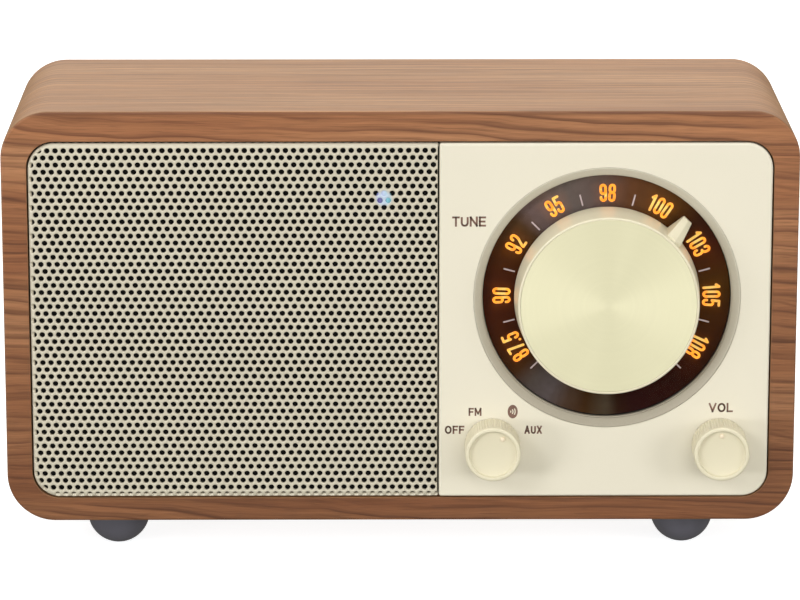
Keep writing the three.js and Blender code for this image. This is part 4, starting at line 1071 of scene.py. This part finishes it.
# ------------------------------------------------------------------ status light lens
lens = lathe("status_light_lens", [(0.0, FACE_Y + 0.20), (0.5, FACE_Y + 0.205), (1.0, FACE_Y + 0.23), (1.40, FACE_Y + 0.30), (1.52, FACE_Y + 0.42), (1.52, FACE_Y + 0.58), (1.28, FACE_Y + 0.62), (1.28, FACE_Y + 1.4), (0, FACE_Y + 1.4)], LED_X, LED_Z, M["lens"], "cabinet", 48, sharp=60)
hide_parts("status_lens")

# ------------------------------------------------------------------ rear cover, with its bay, sockets, slots and screws
CY1 = YB - 0.4
CY0 = CY1 - 3.0
cover_rect = (-OPEN_W / 2 + 0.3, OPEN_W / 2 - 0.3, OPEN_Z0 + 0.3, OPEN_Z1 - 0.3, 5.0)
rings = [rounded_ring(*cover_rect, CY0, 16)]
for a in arc_steps(5):
    rings.append(rounded_ring(*inset(cover_rect, 0.5 * (1 - math.cos(a))), CY1 - 0.5 * (1 - math.sin(a)), 16))
cover = obj("rear_cover_moulding", *bridge(rings, cap_first=True, cap_last=True), M["black"], "cabinet", sharp=50)
tools = [slab((-24, 16, 24, 36, 2.5), CY1 - 1.0, CY1 + 1, 8), slab((-18.5, -9.5, 28.3, 31.7, 1.3), CY0 - 1, CY1 + 1, 6), rod(6, 30, 3.2, CY0 - 1, CY1 + 1, 64)]
SCREWS = []
bx = OPEN_W / 2 - STEP; bz0 = OPEN_Z0 + STEP; bz1 = OPEN_Z1 - STEP
for sx, top in ((-1, 0), (1, 0), (1, 1), (-1, 1)):
    SCREWS.append((sx * (bx - 2.9), bz1 - 2.9 if top else bz0 + 2.9))
for sx, sz in SCREWS:
    tools.append(rod(sx, sz, 2.9, CY1 - 1.6, CY1 + 1, 48))
for i in range(6):
    tools.append(slab((-18, 18, 56 + i * 3, 57.4 + i * 3, 0.69), CY0 - 1, CY1 + 1, 6))
cut(cover, *tools)
smooth(cover, 40)
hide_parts("rear_cover")

for i, (sx, sz) in enumerate(SCREWS):
    y = CY1 - 0.2
    s = lathe("case_screw_head_%d" % (i + 1), [(0, y), (1.2, y - 0.03), (2.0, y - 0.18), (2.45, y - 0.5), (2.6, y - 0.9), (2.6, CY1 - 1.5), (1.1, CY1 - 1.52), (1.1, 20.4), (0, 19.2)], sx, sz, M["steel"], "cabinet", 48, sharp=40, weighted=False)
    t1 = cutter(*bridge([[(sx - 1.35, yy, sz - 0.26), (sx + 1.35, yy, sz - 0.26), (sx + 1.35, yy, sz + 0.26), (sx - 1.35, yy, sz + 0.26)] for yy in (y - 0.9, y + 1)], cap_first=True, cap_last=True))
    t2 = cutter(*bridge([[(sx - 0.26, yy, sz - 1.35), (sx + 0.26, yy, sz - 1.35), (sx + 0.26, yy, sz + 1.35), (sx - 0.26, yy, sz + 1.35)] for yy in (y - 0.9, y + 1)], cap_first=True, cap_last=True))
    cut(s, t1, t2)
    smooth(s, 40)
    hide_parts("case_screw_%d" % (i + 1))

jack = lathe("aux_socket_barrel", [(1.75, CY0 - 1.5), (1.75, CY1 - 1.5), (1.95, CY1 - 1.3), (2.8, CY1 - 1.3), (2.9, CY1 - 1.4), (2.9, CY0 - 1.0), (5.0, CY0 - 1.0), (5.0, CY0 - 3.0), (1.75, CY0 - 3.0), (1.75, CY0 - 1.5)], 6, 30, M["black"], "cabinet", 64, sharp=40)
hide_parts("aux_socket")

# ------------------------------------------------------------------ materials of the CAD nodes that stay as they are
LOOKS = {
    "black": ["front_baffle", "tuning_potentiometer", "mode_switch", "volume_potentiometer", "speaker_frame", "battery_cradle", "filter_capacitor"],
    "cloth": ["grille_cloth"], "clear": ["dial_window"], "diffuser": ["dial_light_guide"],
    "steel": ["tuning_shaft", "mode_shaft", "volume_shaft", "mode_nut", "volume_nut", "speaker_top_plate", "speaker_yoke", "usb_power_socket", "radio_module",
              "speaker_screw_1", "speaker_screw_2", "speaker_screw_3", "speaker_screw_4", "board_screw_1", "board_screw_2"],
    "board": ["control_board", "main_board", "status_lamp_board"], "foam": ["speaker_gasket", "speaker_surround"], "paper": ["speaker_cone", "speaker_dust_cap"],
    "copper": ["speaker_voice_coil"], "spider": ["speaker_spider"], "ferrite": ["speaker_magnet"], "cell": ["battery_cell"],
    "wire": ["ribbon_cable", "speaker_lead", "antenna_wire"],
}
for look, names in LOOKS.items():
    for node in names:
        o = NODES[node]
        if not o.material_slots:
            o.data.materials.append(M[look])
        for s in o.material_slots:
            s.material = M[look]

# ------------------------------------------------------------------ stage: floor, light and camera
bpy.ops.mesh.primitive_plane_add(size=40, location=(0, 0, 0))
floor = bpy.context.object
floor.name = "floor"
fm = Mat("floor_paper", (0.62, 0.62, 0.62), 0.9, Specular_IOR_Level=0.1)
fm.base(fm.ramp(fm.noise(6, detail=2), [(0.3, (0.615, 0.615, 0.615)), (0.7, (0.63, 0.63, 0.63))]))
fm.set("Emission Color", (0.97, 0.985, 1.0, 1.0))
fm.set("Emission Strength", 0.87)
floor.visible_diffuse = False
floor.visible_glossy = False
floor.data.materials.append(fm.m)

# Pale backdrop far behind, all the way round.
bd = bmesh.new()
bmesh.ops.create_cone(bd, cap_ends=False, segments=96, radius1=6, radius2=6, depth=5)
me = bpy.data.meshes.new("backdrop"); bd.to_mesh(me); bd.free()
backdrop = bpy.data.objects.new("backdrop", me)
backdrop.location = (0, 0, 2.45)
bpy.context.scene.collection.objects.link(backdrop)
bm_paper = Mat("backdrop_paper", (0.6, 0.6, 0.6), 0.9, Specular_IOR_Level=0.1)
bm_paper.base(bm_paper.ramp(bm_paper.noise(3, detail=2), [(0.3, (0.59, 0.59, 0.59)), (0.7, (0.61, 0.61, 0.61))]))
bm_paper.set("Emission Color", (1.0, 1.0, 1.0, 1.0))
bm_paper.set("Emission Strength", 0.98)
me.materials.append(bm_paper.m)
for ray in ("visible_diffuse", "visible_glossy", "visible_transmission", "visible_shadow"):
    setattr(backdrop, ray, False)


def softbox(name, where, aim, size, watts, color=(1, 1, 1), size_y=None):
    d = bpy.data.lights.new(name, "AREA")
    d.shape = "RECTANGLE"; d.size = size; d.size_y = size_y or size
    d.energy = watts; d.color = color
    o = bpy.data.objects.new(name, d)
    o.location = where
    o.rotation_euler = (Vector(aim) - Vector(where)).to_track_quat("-Z", "Y").to_euler()
    bpy.context.scene.collection.objects.link(o)
    return o


softbox("key", (-0.72, -0.92, 0.62), (0, 0, 0.05), 0.40, 4.3, (0.985, 0.985, 1.0))
softbox("front", (0.25, -1.50, 0.50), (0, 0, 0.05), 1.0, 8.6, (1.0, 0.99, 0.98), size_y=0.8)
softbox("side_left", (-0.95, -0.72, 0.08), (0.02, 0, 0.05), 0.34, 4.3, (0.985, 0.985, 1.0), size_y=0.18)
softbox("side_right", (0.94, -0.76, 0.24), (0.02, 0, 0.05), 0.40, 3.7, (0.985, 0.985, 1.0), size_y=0.40)
softbox("top", (0.0, -0.04, 0.60), (0, 0.0, 0.05), 0.60, 1.2, size_y=0.22)
softbox("back_top", (0.0, 0.55, 0.75), (0, 0.0, 0.06), 1.0, 3.5, size_y=0.5)
softbox("rim", (0.0, 1.1, 0.50), (0, 0, 0.08), 1.4, 1.3, size_y=0.4)

world = bpy.data.worlds.new("studio")
bpy.context.scene.world = world
world.use_nodes = True
world.node_tree.nodes["Background"].inputs[0].default_value = (1.0, 0.985, 0.84, 1)
world.node_tree.nodes["Background"].inputs[1].default_value = 0.30

bpy.context.scene.view_settings.view_transform = "Standard"
bpy.context.scene.view_settings.look = "None"

cam = bpy.data.cameras.new("camera")
cam.lens = 192.5; cam.sensor_width = 36; cam.sensor_fit = "HORIZONTAL"
cam.clip_start = 0.05; cam.clip_end = 50
camera = bpy.data.objects.new("camera", cam)
camera.location = (-0.005, -0.8232, 0.250456)
camera.rotation_euler = (math.pi / 2 - 0.242862, 0, -0.00613)
bpy.context.scene.collection.objects.link(camera)
bpy.context.scene.camera = camera
